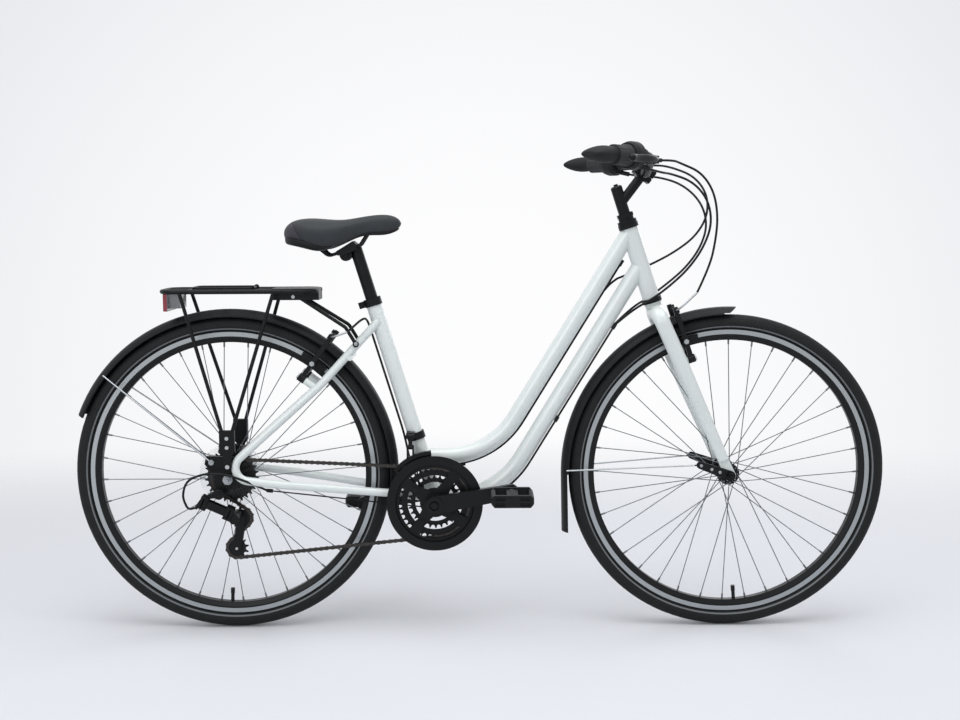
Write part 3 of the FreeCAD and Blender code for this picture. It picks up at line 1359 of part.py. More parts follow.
mech_eyes = [rod(p - V(link_half_x, 0, 0), p + V(link_half_x, 0, 0), mech_eye_r)
             for p in (mech_top, mech_low)]
mech_holes = [rod(p - V(20, 0, 0), p + V(20, 0, 0), mech_pin_r + running_gap) for p in (mech_top, mech_low)]
keep("front_derailleur_link", cut_by(joined(mech_link_bar, *mech_eyes), *mech_holes))
fd_low = guard_r + 2.0
fd_high = fd_low + 18.0
fd_start = 76.0
fd_end = 141.0
fd_half = 5.2
fd_plate = 1.5
plates = [sector(bb, fd_low, fd_high, fd_start, fd_end, y, y + fd_plate)
          for y in (mech_y - fd_half - fd_plate, mech_y + fd_half)]
roof = sector(bb, fd_high - fd_plate, fd_high, fd_start, 118.0, mech_y - fd_half - fd_plate,
              mech_y + fd_half + fd_plate)
tail = polar(bb, fd_low + 3, fd_end - 2)
tail_screw = across(tail.x, tail.z, mech_y - fd_half - fd_plate, mech_y + fd_half + fd_plate, 2.0)
low_ears = [box(V(mech_low.x + x0, mech_low.y - 4, bb.z + fd_high - 20),
                V(mech_low.x + x1, mech_low.y + 4, mech_low.z + 4))
            for x0, x1 in ((-8, -link_half_x - free_gap), (link_half_x + free_gap, 8))]
low_pin = rod(mech_low - V(8, 0, 0), mech_low + V(8, 0, 0), mech_pin_r)
ear_room = rod(bb + V(0, -80, 0), bb, fd_high - fd_plate)
low_ears = [ear.cut(ear_room) for ear in low_ears]
keep("front_derailleur_cage", joined(*plates, roof, tail_screw, *low_ears, low_pin))

# Seat: clamp collar, seatpost with rail clamp, rails and saddle
collar_height = 17.0
collar_r = seat_r + 2.5
post_r_seat = seatpost_d / 2
collar_low = on_seat_tube(seat_tube_length - collar_height + 3)
collar_high = on_seat_tube(seat_tube_length + 3)
collar_ears = placed(box(V(-9, -7, -7), V(9, 7, 7)),
                     on_seat_tube(seat_tube_length - collar_height / 2 + 3, collar_r + 3), seat_back,
                     ACROSS, seat_back.cross(ACROSS))
collar = joined(rod(collar_low, collar_high, collar_r), collar_ears)
collar = cut_by(collar, rod(collar_low - seat_up * 5, on_seat_tube(seat_tube_length), seat_r),
                rod(collar_low, collar_high + seat_up * 5, seat_bore_r + free_gap))
collar_bolt_at = on_seat_tube(seat_tube_length - collar_height / 2 + 3, collar_r + 6)
collar = collar.cut(rod(collar_bolt_at - ACROSS * 20, collar_bolt_at + ACROSS * 20, 3.0))
collar_bolt = joined(rod(collar_bolt_at - ACROSS * 9, collar_bolt_at + ACROSS * 9, 3.0),
                     rod(collar_bolt_at - ACROSS * 11, collar_bolt_at - ACROSS * 7, 5.0))
keep("seat_clamp", collar, collar_bolt)

post_insert = 130.0
post_head = on_seat_tube(seat_height)
rail_out = 22.0
rail_r = 3.5
rail_tilt = 19.0
saddle_top = post_head.z + 76.0
saddle_tail = post_head.x - 157.0
rail_way = V(cos(radians(rail_tilt)), 0, sin(radians(rail_tilt)))
rail_up = V(-rail_way.z, 0, rail_way.x)


def under_saddle(x, y, z):
    return V(saddle_tail + x, y, saddle_top + z)


# The clamp lies along the rails: a round cradle on the post, and a cap that is thicker ahead
clamp_at = under_saddle(137, 0, -75.5)
cradle_at = under_saddle(135.5, 0, -86)
cradle_r = 13.5
cradle_half = 17.0
cap_half = rail_out + 7.0
cap_profile = [(-21, -5), (-21, 4.5), (20, 13.5), (26, 4), (21, -7), (-12, -8)]
post = rod(on_seat_tube(seat_tube_length - post_insert), post_head + seat_up * 4, post_r_seat)
cradle = across(cradle_at.x, cradle_at.z, -cradle_half, cradle_half, cradle_r)
cap_corners = [clamp_at + rail_way * s + rail_up * h - ACROSS * cap_half for s, h in cap_profile]
cap = slab(Part.makePolygon(cap_corners + cap_corners[:1]), ACROSS * (2 * cap_half))
clamp_bolt = across(cradle_at.x, cradle_at.z, -cradle_half - 7, cradle_half + 7, 5.0)


def rail(side):
    ahead = clamp_at + rail_way * 32 + ACROSS * (side * (rail_out - 1))
    behind = clamp_at - rail_way * 40 + ACROSS * (side * rail_out)
    return bent_rod([under_saddle(194, side * 12, -24), ahead, behind, under_saddle(50, side * 47, -44)],
                    rail_r, [12.0, 14.0])


rails = [rail(side) for side in (-1, 1)]
seatpost = joined(post, cradle, cap, clamp_bolt)
keep("seatpost", largest(cut_by(seatpost, *rails)), *rails)

# Saddle stations: x from the tail, half width, edge height, side height, crown height below the top
saddle_stations = [
    (0.0, 0.30, -52.0, -44.0, -37.0), (10.0, 0.60, -60.0, -36.0, -24.0), (26.0, 0.84, -62.5, -28.0, -12.0),
    (54.0, 1.00, -68.5, -23.0, -8.0), (98.0, 0.93, -77.0, -23.0, -10.5), (130.0, 0.66, -62.5, -21.0, -12.5),
    (158.0, 0.42, -49.0, -16.0, -8.0), (186.0, 0.31, -41.0, -10.0, -3.0), (218.0, 0.25, -43.5, -8.0, 0.0),
    (242.0, 0.21, -37.0, -9.0, -3.5), (saddle_length, 0.12, -29.0, -18.0, -13.0)]


def saddle_section(station):
    x, share, low, side_z, crown_z = station
    half = share * saddle_width / 2
    px = saddle_tail + x

    def at(y, z):
        return V(px, y, saddle_top + z)

    return outline(at(-half * 0.92, low), (at(-half, (low + side_z) / 2), at(-half * 0.90, side_z)),
                   (at(0, crown_z), at(half * 0.90, side_z)),
                   (at(half, (low + side_z) / 2), at(half * 0.92, low)),
                   (at(0, (low + crown_z) / 2 - 4), at(-half * 0.92, low)))


saddle = Part.makeLoft([saddle_section(s) for s in saddle_stations], True, False)
keep("saddle", largest(cut_by(saddle, *rails)))

# Mudguards: crowned sheets round each wheel
guard_edge_drop = 13.0
edge_radius = guard_radius - guard_edge_drop


def guard_section(centre, radius, half, angle):
    inner = radius - guard_thickness

    def at(r, y):
        return polar(centre, r, angle, y)

    return outline(at(radius - guard_edge_drop, -half), (at(radius, 0), at(radius - guard_edge_drop, half)),
                   at(radius - guard_edge_drop, half - guard_thickness),
                   (at(inner, 0), at(radius - guard_edge_drop, guard_thickness - half)))


def guard(centre, start, end):
    return spun(guard_section(centre, guard_radius, guard_half_width, start), centre, end - start,
                V(0, -1, 0))


rear_guard_start = -8.0
rear_guard_end = 158.4
front_guard_start = 87.3
front_guard_end = 180.5
flap_drop = 130.0
keep("rear_mudguard", largest(cut_by(guard(rear_axle, rear_guard_start, rear_guard_end), *stay_outers)))
flap_top = guard_section(front_axle, guard_radius, guard_half_width, front_guard_end)
flap_low = guard_section(front_axle, guard_radius, guard_half_width + 6, front_guard_end)
flap_low.translate(V(2, 0, -flap_drop))
tip_slant = 2.9
tip_reach = 40.0
tip_corners = [(guard_radius + 0.5, 0), (edge_radius - 1, tip_slant), (guard_radius - tip_reach, tip_slant),
               (guard_radius - tip_reach, -3), (guard_radius + 0.5, -3), (guard_radius + 0.5, 0)]
tip_cut = slab(Part.makePolygon([polar(front_axle, r, front_guard_start + turn, -tip_reach) for r,
                                 turn in tip_corners]),
               V(0, 2 * tip_reach, 0))
front_guard = guard(front_axle, front_guard_start, front_guard_end).cut(tip_cut)
flap = Part.makeLoft([flap_top, flap_low], True, True)
front_guard_solid = joined(front_guard, flap)
keep("fork", largest(joined(nodes["fork"][0],
                            guard_bolt.cut(spun(guard_section(front_axle, guard_radius, 30, 100),
                                                                  front_axle, 20, V(0, -1, 0))))))

# Mudguard stays: wires from the axle ends to the edges of the guards
wire_r = 1.75


def guard_stay(root, centre, angle, side):
    foot = polar(centre, edge_radius + 2, angle, side * (guard_half_width + wire_r + 0.1))
    return rod(root, foot, wire_r)


rear_stays = []
stay_out = dropout_in + dropout_thickness
for side in (-1, 1):
    root = V(guard_eyelet.x, side * (stay_out + 5.0), guard_eyelet.z)
    wire = guard_stay(root, rear_axle, 141.2, side)
    eye = across(root.x, root.z, side * stay_out, side * (stay_out + 6.5), 6.0)
    screw = across(root.x, root.z, side * (dropout_in - 1), side * (stay_out + 9.0), eyelet_r)
    head = across(root.x, root.z, side * (stay_out + 6.5), side * (stay_out + 9.0), 4.5)
    rear_stays.append(joined(wire, eye, screw, head))
keep("rear_mudguard_stays", *rear_stays)
front_stays = []
bracket_out = fork_end_in + fork_end_thickness
for side in (-1, 1):
    y0 = side * bracket_out
    root = V(front_axle.x - 66, y0 + side * bracket_thickness / 2, front_axle.z + 24)
    plate = link_plate(front_axle, 11.0, root, 8.0, y0, y0 + side * bracket_thickness)
    plate = plate.cut(across(front_axle.x, front_axle.z, y0 - side, y0 + side * 5, front_axle_r))
    wire = guard_stay(root, front_axle, 179.0, side)
    front_stays.append(joined(plate, wire))
keep("front_mudguard", front_guard_solid, *front_stays)

# Rack: bent-rod deck, four legs to the feet, two struts to the seatstays
rack_r = rack_rod_d / 2
deck_corner = 28.0
deck_z = rack_height - rack_r
deck_points = [V(rack_front_x, -20, deck_z), V(rack_front_x, -rack_half_width, deck_z),
               V(rack_rear_x, -rack_half_width, deck_z),
               V(rack_rear_x, rack_half_width, deck_z), V(rack_front_x, rack_half_width, deck_z),
               V(rack_front_x, 20, deck_z)]
deck_loop = bent_rod(deck_points, rack_r, deck_corner)
bars = [rod(V(x, -rack_half_width, deck_z), V(x, rack_half_width, deck_z), 3.5)
        for x in (rack_front_x - 140, rack_front_x - 210, rack_front_x - 280)]
runners = [rod(V(rack_rear_x, y, deck_z), V(rack_front_x, y, deck_z), 3.5) for y in (-20, 20)]
front_block = box(V(rack_front_x - 98, -30, deck_z - 20), V(rack_front_x + 4, 30, rack_height))
foot_x = rack_eyelet.x
foot_y0 = stay_out
foot_y1 = stay_out + 9.0
foot_top = rear_axle.z + 109.0
foot_half = 16.5
foot_neck = rear_axle.z + 62.0
legs = []
for side in (-1, 1):
    top_y = side * rack_half_width
    low_y = side * (foot_y0 + 4.5)
    for top_x, low_x in ((rack_rear_x + 42, foot_x - 11), (rack_front_x - 90, foot_x + 11)):
        legs.append(bent_rod([V(top_x, top_y, deck_z), V(low_x, low_y, foot_top - 4),
                              V(low_x, low_y, foot_top - 32)], 4.0, 40.0))
feet = []
for side in (-1, 1):
    y0 = side * foot_y0
    wire = outline(V(foot_x - foot_half, y0, foot_top), V(foot_x - foot_half, y0, foot_neck),
                   V(foot_x - 8.5, y0, foot_neck - 10), V(foot_x - 8.5, y0, rack_eyelet.z),
                   (V(foot_x, y0, rack_eyelet.z - 8.5), V(foot_x + 8.5, y0, rack_eyelet.z)),
                   V(foot_x + 8.5, y0, foot_neck - 10), V(foot_x + foot_half, y0, foot_neck),
                   V(foot_x + foot_half, y0, foot_top))
    shape = slab(wire, V(0, side * (foot_y1 - foot_y0), 0))
    foot_bolts = [across(foot_x, z, y0, side * (foot_y1 + 2.5), 4.0)
                  for z in (rear_axle.z + 72, rear_axle.z + 92)]
    screw = across(rack_eyelet.x, rack_eyelet.z, side * (dropout_in - 1), side * (foot_y1 + 3), eyelet_r)
    screw_head = across(rack_eyelet.x, rack_eyelet.z, side * foot_y1, side * (foot_y1 + 3), 4.5)
    feet.append(joined(shape, *foot_bolts, screw, screw_head))
stay_mid = on_seat_tube(seatstay_height) * 0.62 + stay_points(1)[4] * 0.38
struts = []
for side in (-1, 1):
    top = V(rack_front_x - 40, side * 24, deck_z - 14)
    knee = V(stay_mid.x - 22, side * 36, stay_mid.z + 40)
    low = V(stay_mid.x, side * 36, stay_mid.z + 3)
    struts.append(joined(bent_rod([top, knee, low], 4.0, 20.0),
                         across(low.x, low.z, side * 30, side * 41, 6.5)))
clip_x = rack_front_x - 140
clip_r = 2.75
clip_z = deck_z + 3.5 + free_gap + clip_r
clip_lugs = [pipe(V(clip_x, y - 3, clip_z), V(clip_x, y + 3, clip_z), 5.5, clip_r + running_gap)
             for y in (-26, 26)]
rack = joined(deck_loop, front_block, *clip_lugs, *bars, *runners, *legs, *feet, *struts)
keep("rear_rack", largest(cut_by(rack, *stay_outers,
                                 rod(V(clip_x, -29, clip_z), V(clip_x, 29, clip_z), clip_r + running_gap))))

# Reflector in its hood under the rear of the deck
hood_x = rack_rear_x + 4
reflector = box(V(hood_x, -42, deck_z - rack_r - 38), V(hood_x + 9, 42, deck_z - rack_r - 0.1))
reflector = reflector.makeFillet(3.5, [e for e in reflector.Edges if abs(e.BoundBox.XLength - 9) < 0.01])
hood = box(V(hood_x + 9, -30, deck_z - rack_r - 32), V(hood_x + 34, 30, deck_z - rack_r - 0.1))
keep("rear_reflector", joined(reflector, hood))

# Spring clip: a bail that swings up from the deck
clip_half = 34.0
clip_pin = rod(V(clip_x, -clip_half, clip_z), V(clip_x, clip_half, clip_z), clip_r)
clip_loop = bent_rod([V(clip_x, -clip_half, clip_z), V(clip_x - 130, -clip_half, clip_z),
                      V(clip_x - 130, clip_half, clip_z), V(clip_x, clip_half, clip_z)], clip_r, 14.0)
keep("rack_spring_clip", joined(clip_pin, clip_loop))

# Cables: points chosen by hand along their routes
housing_r = 2.5


def brake_point(axle, angle, facing, x, y, z):
    outward, lateral, along = brake_axes(angle, facing)
    return brake_origin(axle, angle) + outward * x + lateral * y + along * z


def short_of(points, gap):
    # The same route, stopped a little before its last point.
    back = points[-2] - points[-1]
    back.normalize()
    return points[:-1] + [points[-1] + back * gap]


def grip_point(x, y, z, side=-1):
    p = bar_corner + grip_ahead * x + UP * y + sweep_way * z
    return p if side < 0 else mirrored(p)


front_noodle_end = brake_point(front_axle, front_brake_angle, -1, front_noodle.x + 0.4,
                               -brake_pivot_out - front_noodle.y,
                               brake_arm_length + front_noodle.z + 0.2)
front_route = [grip_point(27.1, -8, lever_clamp_at - 28.5), V(404, -119, 1027), V(424, -86, 1022),
               V(470, -70, 1004), V(500, -58, 964),
               V(510, -54, 912), V(506, -55, 862), V(494, -57, 805), front_noodle_end]
end_gap = 0.7
front_cable_route = short_of(front_route, end_gap)
keep("front_brake_cable", bent_rod(front_cable_route, housing_r))

rear_brake_route = [grip_point(27.1, -8, lever_clamp_at - 28.5, 1), V(404, 119, 1027), V(432, 84, 1020),
                    V(478, 62, 1000), V(504, 42, 960),
                    V(504, 34, 912), V(478, 32, 868), V(436, 32, 836), V(392, 31, 812), V(346, 28, 792),
                    V(304, 17, 776)]
shift_stop_at = 138.0
stop_gap = 1.1
below_way = V(sin(radians(main_tube_slope)), 0, -cos(radians(main_tube_slope)))
shift_stop = lower_start + slope_way * shift_stop_at + below_way * (main_r + 3.6)


def shift_route(side):
    boss_end = grip_point(20.3, -26.2, housing_at - 14.6, side)
    return [boss_end, V(376, side * 141, 1001), V(402, side * 100, 1000), V(452, side * 78, 984),
            V(490, side * 48, 946), V(503, side * 26, 896),
            V(488, side * 17, 846), V(456, side * 20, 800), V(416, side * 28, 764), V(376, side * 29, 734),
            V(334, side * 20, 710), shift_stop + V(0, side * 6, 0)]


steering_routes = [rear_brake_route, short_of(shift_route(-1), stop_gap),
                   short_of(shift_route(1), stop_gap)]
keep("steering_cables", *[bent_rod(route, housing_r) for route in steering_routes])

# Cables fixed to the frame: rear brake under the upper tube, gear wires under the lower tube
wire_gap = main_r + housing_r + 0.1
tube_below = V(sin(radians(main_tube_slope)), 0, -cos(radians(main_tube_slope)))
run_turn = radians(main_tube_slope) / 2


def beside_tube(start, corner, end, gap, y):
    # The tube's own path, moved below it by the gap and across by y.
    corner_way = V(sin(run_turn), 0, -cos(run_turn))
    return [start + tube_below * gap + V(0, y, 0), corner + corner_way * (gap / cos(run_turn)) + V(0, y, 0),
            end + V(0, y, -gap)]


back_gap = seat_r + 3.5 + housing_r + 0.1
rear_noodle_end = brake_point(rear_axle, rear_brake_angle, 1, rear_noodle.x - 0.2,
                              brake_pivot_out + rear_noodle.y,
                              brake_arm_length + rear_noodle.z + 0.4)
brake_start = upper_start + slope_way * 62
brake_run = beside_tube(brake_start, upper_corner, upper_end + V(64, 0, 0), wire_gap, 6.0)
brake_route = brake_run + [upper_end + V(-4, seat_r + 6, 4 - wire_gap),
                           on_seat_tube(upper_tube_height + 4, back_gap + 7, 8),
                           on_seat_tube(band_at + 12, back_gap),
                           on_seat_tube(seatstay_height + 6, back_gap),
                           rear_noodle_end + V(34, 22, 30), rear_noodle_end]
brake_bends = [upper_tube_bend + wire_gap] + [None] * (len(brake_route) - 3)
brake_stop = rod(brake_start + tube_below * wire_gap + V(0, 6, 0) - slope_way * 1,
                 brake_start + tube_below * wire_gap + V(0, 6, 0) + slope_way * 14, 4.2)
frame_cables = [joined(bent_rod(short_of(brake_route, end_gap), housing_r, brake_bends), brake_stop)]

shift_wire_r = 1.5
shift_gap = main_r + 3.6
guide_low = bb.z - shell_r - 6
guide_block = box(V(bb.x - 12, -13, guide_low), V(bb.x + 10, 13, bb.z - 14)).cut(shell_outer)
shift_lines = []
for side in (-1, 1):
    run = beside_tube(lower_start + slope_way * shift_stop_at, lower_corner, bb, shift_gap, side * 6)
    line = bent_rod(run, shift_wire_r, lower_tube_bend + shift_gap)
    stops = []
    for along in (shift_stop_at, shift_stop_at + 240.0):
        foot = lower_start + slope_way * along + tube_below * shift_gap + V(0, side * 6, 0)
        stops.append(rod(foot, foot + slope_way * 13, 3.6))
    shift_lines += [line] + stops
stay_stop = rear_axle + V(96, -66, -27)
gear_wire = rod(V(bb.x - 8, -8, bb.z - shift_gap), stay_stop, shift_wire_r)
stay_barrel = rod(stay_stop, stay_stop + V(-14, -2, 2), 4.2)
mech_wire = bent_rod([V(bb.x - 8, 6, bb.z - shift_gap), V(bb.x - 28, 2, bb.z - 14),
                      mech_top + V(0, 16, -5)], shift_wire_r, 20.0)
adjust_root = at_y(link_root, -91) - link_way * 11
gear_loop = [stay_stop + V(-13, -2, 2), rear_axle + V(50, -82, -6), rear_axle + V(2, -99, 17),
             rear_axle + V(-46, -98, 19),
             rear_axle + V(-86, -94, 2), rear_axle + V(-96, -91, -34), rear_axle + V(-84, -91, -62),
             adjust_root + V(-9, 0, -14)]
adjuster_barrel = rod(adjust_root + V(-12, 0, -17), adjust_root + V(1, 0, 1), 3.6)
gear_side = joined(shift_lines[0], *shift_lines[1:], guide_block, gear_wire, stay_barrel,
                   bent_rod(gear_loop, housing_r),
                   adjuster_barrel, mech_wire)
frame_cables.append(gear_side)
tools = (stay_outers + nodes["main_tubes"] + nodes["derailleur_mount"] + nodes["bottom_bracket"]
         + nodes["front_derailleur_clamp"])
keep("frame_cables", *[largest(cut_by(cable, *tools)) for cable in frame_cables])

for name, solids in nodes.items():
    for solid in solids:
        if not solid.isValid() or len(solid.Solids) != 1:
            print("check", name, solid.ShapeType, len(solid.Solids), solid.isValid())

# Bend radii of the free cables, and each volume against its section times its length
for label, route, solid in zip(("front brake", "rear brake", "right gear", "left gear"),
                               [front_cable_route] + steering_routes,
                               nodes["front_brake_cable"] + nodes["steering_cables"]):
    path = bent_path(route, None)
    radii = [edge.Curve.Radius for edge in path.Edges if isinstance(edge.Curve, Part.Circle)]
    share = solid.Volume / (pi * housing_r ** 2 * path.Length)
    print("cable", label, "length", round(path.Length), "smallest bend", round(min(radii), 1),
          "volume share", round(share, 4))

os.makedirs("parts", exist_ok=True)
for name, solids in nodes.items():
    shape = solids[0] if len(solids) == 1 else Part.makeCompound(solids)
    shape.exportStep("parts/" + name + ".step")
print("nodes", len(nodes), "solids", sum(len(solids) for solids in nodes.values()))
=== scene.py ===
from math import copysign, cos, pi, radians, sin, sqrt

import bpy
from mathutils import Matrix, Vector


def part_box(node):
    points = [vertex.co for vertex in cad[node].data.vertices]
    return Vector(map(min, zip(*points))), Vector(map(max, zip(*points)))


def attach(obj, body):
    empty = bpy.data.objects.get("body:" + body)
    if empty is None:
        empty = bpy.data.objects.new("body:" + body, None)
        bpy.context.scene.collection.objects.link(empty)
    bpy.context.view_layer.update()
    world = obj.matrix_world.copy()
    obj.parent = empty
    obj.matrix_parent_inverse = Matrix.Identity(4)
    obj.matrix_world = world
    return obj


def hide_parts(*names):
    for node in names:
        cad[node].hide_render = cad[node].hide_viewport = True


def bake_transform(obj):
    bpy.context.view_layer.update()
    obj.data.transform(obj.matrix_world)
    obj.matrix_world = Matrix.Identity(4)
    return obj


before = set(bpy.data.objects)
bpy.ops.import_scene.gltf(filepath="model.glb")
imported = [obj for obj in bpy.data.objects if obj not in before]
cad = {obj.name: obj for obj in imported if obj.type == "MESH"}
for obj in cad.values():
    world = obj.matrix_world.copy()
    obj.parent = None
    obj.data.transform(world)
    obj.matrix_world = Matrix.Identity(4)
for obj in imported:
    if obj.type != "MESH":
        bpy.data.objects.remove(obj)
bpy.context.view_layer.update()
scene = bpy.context.scene
scene.view_settings.view_transform = "Standard"


# Camera: square to the drive side, a little above the saddle and tipped down.
# Its place and lens come from the two wheels and the tube junctions as they lie in the picture.
camera_place = Vector((0.0015, -2.7253, 0.9123))
camera_pitch = 83.4454
camera_roll = -0.2704
camera_lens = 46.702
sensor_width = 36.0
bpy.ops.object.camera_add()
camera = bpy.context.object
camera.data.sensor_fit = "HORIZONTAL"
camera.data.sensor_width = sensor_width
camera.data.lens = camera_lens
camera.matrix_world = (Matrix.Translation(camera_place)
                       @ Matrix.Rotation(radians(camera_pitch), 4, "X")
                       @ Matrix.Rotation(radians(camera_roll), 4, "Z"))
scene.camera = camera


# Studio: a pale paper floor that fades out into a pale backdrop, under a large soft box.
# Two weaker boxes stand on the drive side and behind, so that black parts keep a lit edge.
# The backdrop is palest straight behind the part; a plain, weaker air gives the even light.
backdrop_middle = "#fdfdfe"
backdrop_edge = "#eaebef"
view_way = (0.0, 0.9911, -0.1333)
ambient = 0.56
floor_half = 6.0
floor_drop = 0.0006
fade_shape = (0.75, 1.0, 0.0)
fade_from = 0.9
fade_to = 2.6


def linear(code):
    channels = [int(code[i:i + 2], 16) / 255 for i in (1, 3, 5)]
    return [c / 12.92 if c <= 0.04045 else ((c + 0.055) / 1.055) ** 2.4 for c in channels] + [1.0]


def add_node(tree, kind, inputs=None, **settings):
    made = tree.nodes.new(kind)
    for name, value in settings.items():
        setattr(made, name, value)
    for key, value in (inputs or {}).items():
        if isinstance(value, bpy.types.NodeSocket):
            tree.links.new(value, made.inputs[key])
        else:
            made.inputs[key].default_value = value
    return made


def finish_of(name):
    made = bpy.data.materials.new(name)
    made.use_nodes = True
    return made, made.node_tree, made.node_tree.nodes["Principled BSDF"]


def settled():
    bpy.ops.object.transform_apply(location=True, rotation=True, scale=True)
    return bpy.context.object


world = bpy.data.worlds.new("studio_air")
scene.world = world
world.use_nodes = True
air = world.node_tree
air.nodes.clear()
rays = add_node(air, "ShaderNodeLightPath")
direct = add_node(air, "ShaderNodeMath",
                  {0: rays.outputs["Is Camera Ray"], 1: rays.outputs["Is Glossy Ray"]}, operation="MAXIMUM")
seen = add_node(air, "ShaderNodeMath",
                {0: direct.outputs[0], 1: rays.outputs["Is Transmission Ray"]}, operation="MAXIMUM")
way = add_node(air, "ShaderNodeTexCoord")
towards = add_node(air, "ShaderNodeVectorMath", {0: way.outputs["Generated"], 1: view_way},
                   operation="DOT_PRODUCT")
spread = add_node(air, "ShaderNodeMapRange",
                  {"Value": towards.outputs["Value"], "From Min": 0.90, "From Max": 0.992})
paleness = add_node(air, "ShaderNodeMix",
                    {0: spread.outputs[0], 6: linear(backdrop_edge), 7: linear(backdrop_middle)},
                    data_type="RGBA")
shown_air = add_node(air, "ShaderNodeBackground", {"Color": paleness.outputs[2], "Strength": 1.0})
lit_air = add_node(air, "ShaderNodeBackground", {"Color": linear("#fbfcff"), "Strength": ambient})
both_air = add_node(air, "ShaderNodeMixShader",
                    {0: seen.outputs[0], 1: lit_air.outputs[0], 2: shown_air.outputs[0]})
add_node(air, "ShaderNodeOutputWorld", {"Surface": both_air.outputs[0]})

soft_boxes = (
    ("overhead_box", (0.1, -0.6, 3.0), (0.0, 0.0, 0.5), 3.4, 2.2, 62.0),
    ("drive_side_box", (-1.9, -3.0, 1.9), (0.0, 0.0, 0.6), 2.0, 1.6, 24.0),
    ("rear_box", (1.6, 2.8, 1.8), (0.0, 0.0, 0.6), 2.0, 1.6, 18.0))
for name, place, target, width, height, power in soft_boxes:
    bpy.ops.object.light_add(type="AREA", location=place)
    lamp = bpy.context.object
    lamp.name = name
    lamp.data.shape = "RECTANGLE"
    lamp.data.size = width
    lamp.data.size_y = height
    lamp.data.energy = power
    lamp.rotation_euler = (Vector(target) - Vector(place)).to_track_quat("-Z", "Y").to_euler()

bpy.ops.mesh.primitive_plane_add(size=2 * floor_half, location=(0, 0, -floor_drop))
floor = settled()
floor.name = "paper_floor"
paper, tree, shader = finish_of("matt_paper")
shader.inputs["Base Color"].default_value = linear("#dddfe4")
shader.inputs["Roughness"].default_value = 0.9
shader.inputs["Specular IOR Level"].default_value = 0.1
place = add_node(tree, "ShaderNodeTexCoord")
flat = add_node(tree, "ShaderNodeVectorMath", {0: place.outputs["Object"], 1: fade_shape},
                operation="MULTIPLY")
reach = add_node(tree, "ShaderNodeVectorMath", {0: flat.outputs["Vector"]}, operation="LENGTH")
fade = add_node(tree, "ShaderNodeMapRange",
                {"Value": reach.outputs["Value"], "From Min": fade_from, "From Max": fade_to},
                interpolation_type="SMOOTHSTEP")
clear = add_node(tree, "ShaderNodeBsdfTransparent")
mixed = add_node(tree, "ShaderNodeMixShader",
                 {0: fade.outputs[0], 1: shader.outputs[0], 2: clear.outputs[0]})
tree.links.new(mixed.outputs[0], tree.nodes["Material Output"].inputs["Surface"])
floor.data.materials.append(paper)


# Frame and fork: welded tubes in white enamel under clear lacquer, sprayed and baked.
# The lacquer gives a sharp highlight over a faint orange peel, and the enamel is a cool white.
# The peel is drawn as coarse as it needs to show.
orange_peel_mm = 4.0
drift_mm = 111.0


def dress(finish, *names):
    for name in names:
        cad[name].data.materials.clear()
        cad[name].data.materials.append(finish)


enamel, tree, shader = finish_of("white_enamel")
place = add_node(tree, "ShaderNodeTexCoord")
peel = add_node(tree, "ShaderNodeTexNoise",
                {"Vector": place.outputs["Object"], "Scale": 1000 / orange_peel_mm, "Detail": 1.0})
drift = add_node(tree, "ShaderNodeTexNoise",
                 {"Vector": place.outputs["Object"], "Scale": 1000 / drift_mm, "Detail": 2.0})
tone = add_node(tree, "ShaderNodeMix", {0: drift.outputs[0], 6: linear("#d6dddc"), 7: linear("#dee4e3")},
                data_type="RGBA")
tree.links.new(tone.outputs[2], shader.inputs["Base Color"])
bump = add_node(tree, "ShaderNodeBump", {"Height": peel.outputs[0], "Strength": 0.05, "Distance": 0.0004})
tree.links.new(bump.outputs[0], shader.inputs["Normal"])
shader.inputs["Roughness"].default_value = 0.28
shader.inputs["Coat Weight"].default_value = 0.7
shader.inputs["Coat Roughness"].default_value = 0.06
dress(enamel, "head_tube", "main_tubes", "seat_tube", "bottom_bracket", "rear_stays", "fork")


# Metal parts: forgings and tubes in satin black powder coat, with zinc and stainless fittings.
# The powder flows into a fine pebble that breaks up the highlight, drawn as coarse as it needs to show.
# Where bare fittings share a node with black ones, a box in the part's own coordinates says which are bare.
powder_mm = 1.6
cloud_mm = 38.5
roughness_swing = 0.06
powder = ("#0c0d0e", "#161718", 0.36, 0.10)
rack_feet = ((-0.60, 0.0826, 0.36), (-0.50, 0.095, 0.47))
cage_rivets = ((-0.60, 0.0538, 0.10), (-0.40, 0.0565, 0.35))


def satin_finish(name, dark, light, roughness, bump_strength, metallic=0.0):
    made, tree, shader = finish_of(name)
    place = add_node(tree, "ShaderNodeTexCoord")
    pebble = add_node(tree, "ShaderNodeTexNoise",
                      {"Vector": place.outputs["Object"], "Scale": 1000 / powder_mm, "Detail": 2.0})
    cloud = add_node(tree, "ShaderNodeTexNoise",
                     {"Vector": place.outputs["Object"], "Scale": 1000 / cloud_mm, "Detail": 3.0})
    tone = add_node(tree, "ShaderNodeMix", {0: cloud.outputs[0], 6: linear(dark), 7: linear(light)},
                    data_type="RGBA")
    tree.links.new(tone.outputs[2], shader.inputs["Base Color"])
    spread = add_node(tree, "ShaderNodeMapRange",
                      {"Value": cloud.outputs[0], "To Min": roughness - roughness_swing,
                       "To Max": roughness + roughness_swing})
    tree.links.new(spread.outputs[0], shader.inputs["Roughness"])
    bump = add_node(tree, "ShaderNodeBump",
                    {"Height": pebble.outputs[0], "Strength": bump_strength, "Distance": 0.0003})
    tree.links.new(bump.outputs[0], shader.inputs["Normal"])
    shader.inputs["Specular IOR Level"].default_value = 0.18
    shader.inputs["Metallic"].default_value = metallic
    return made


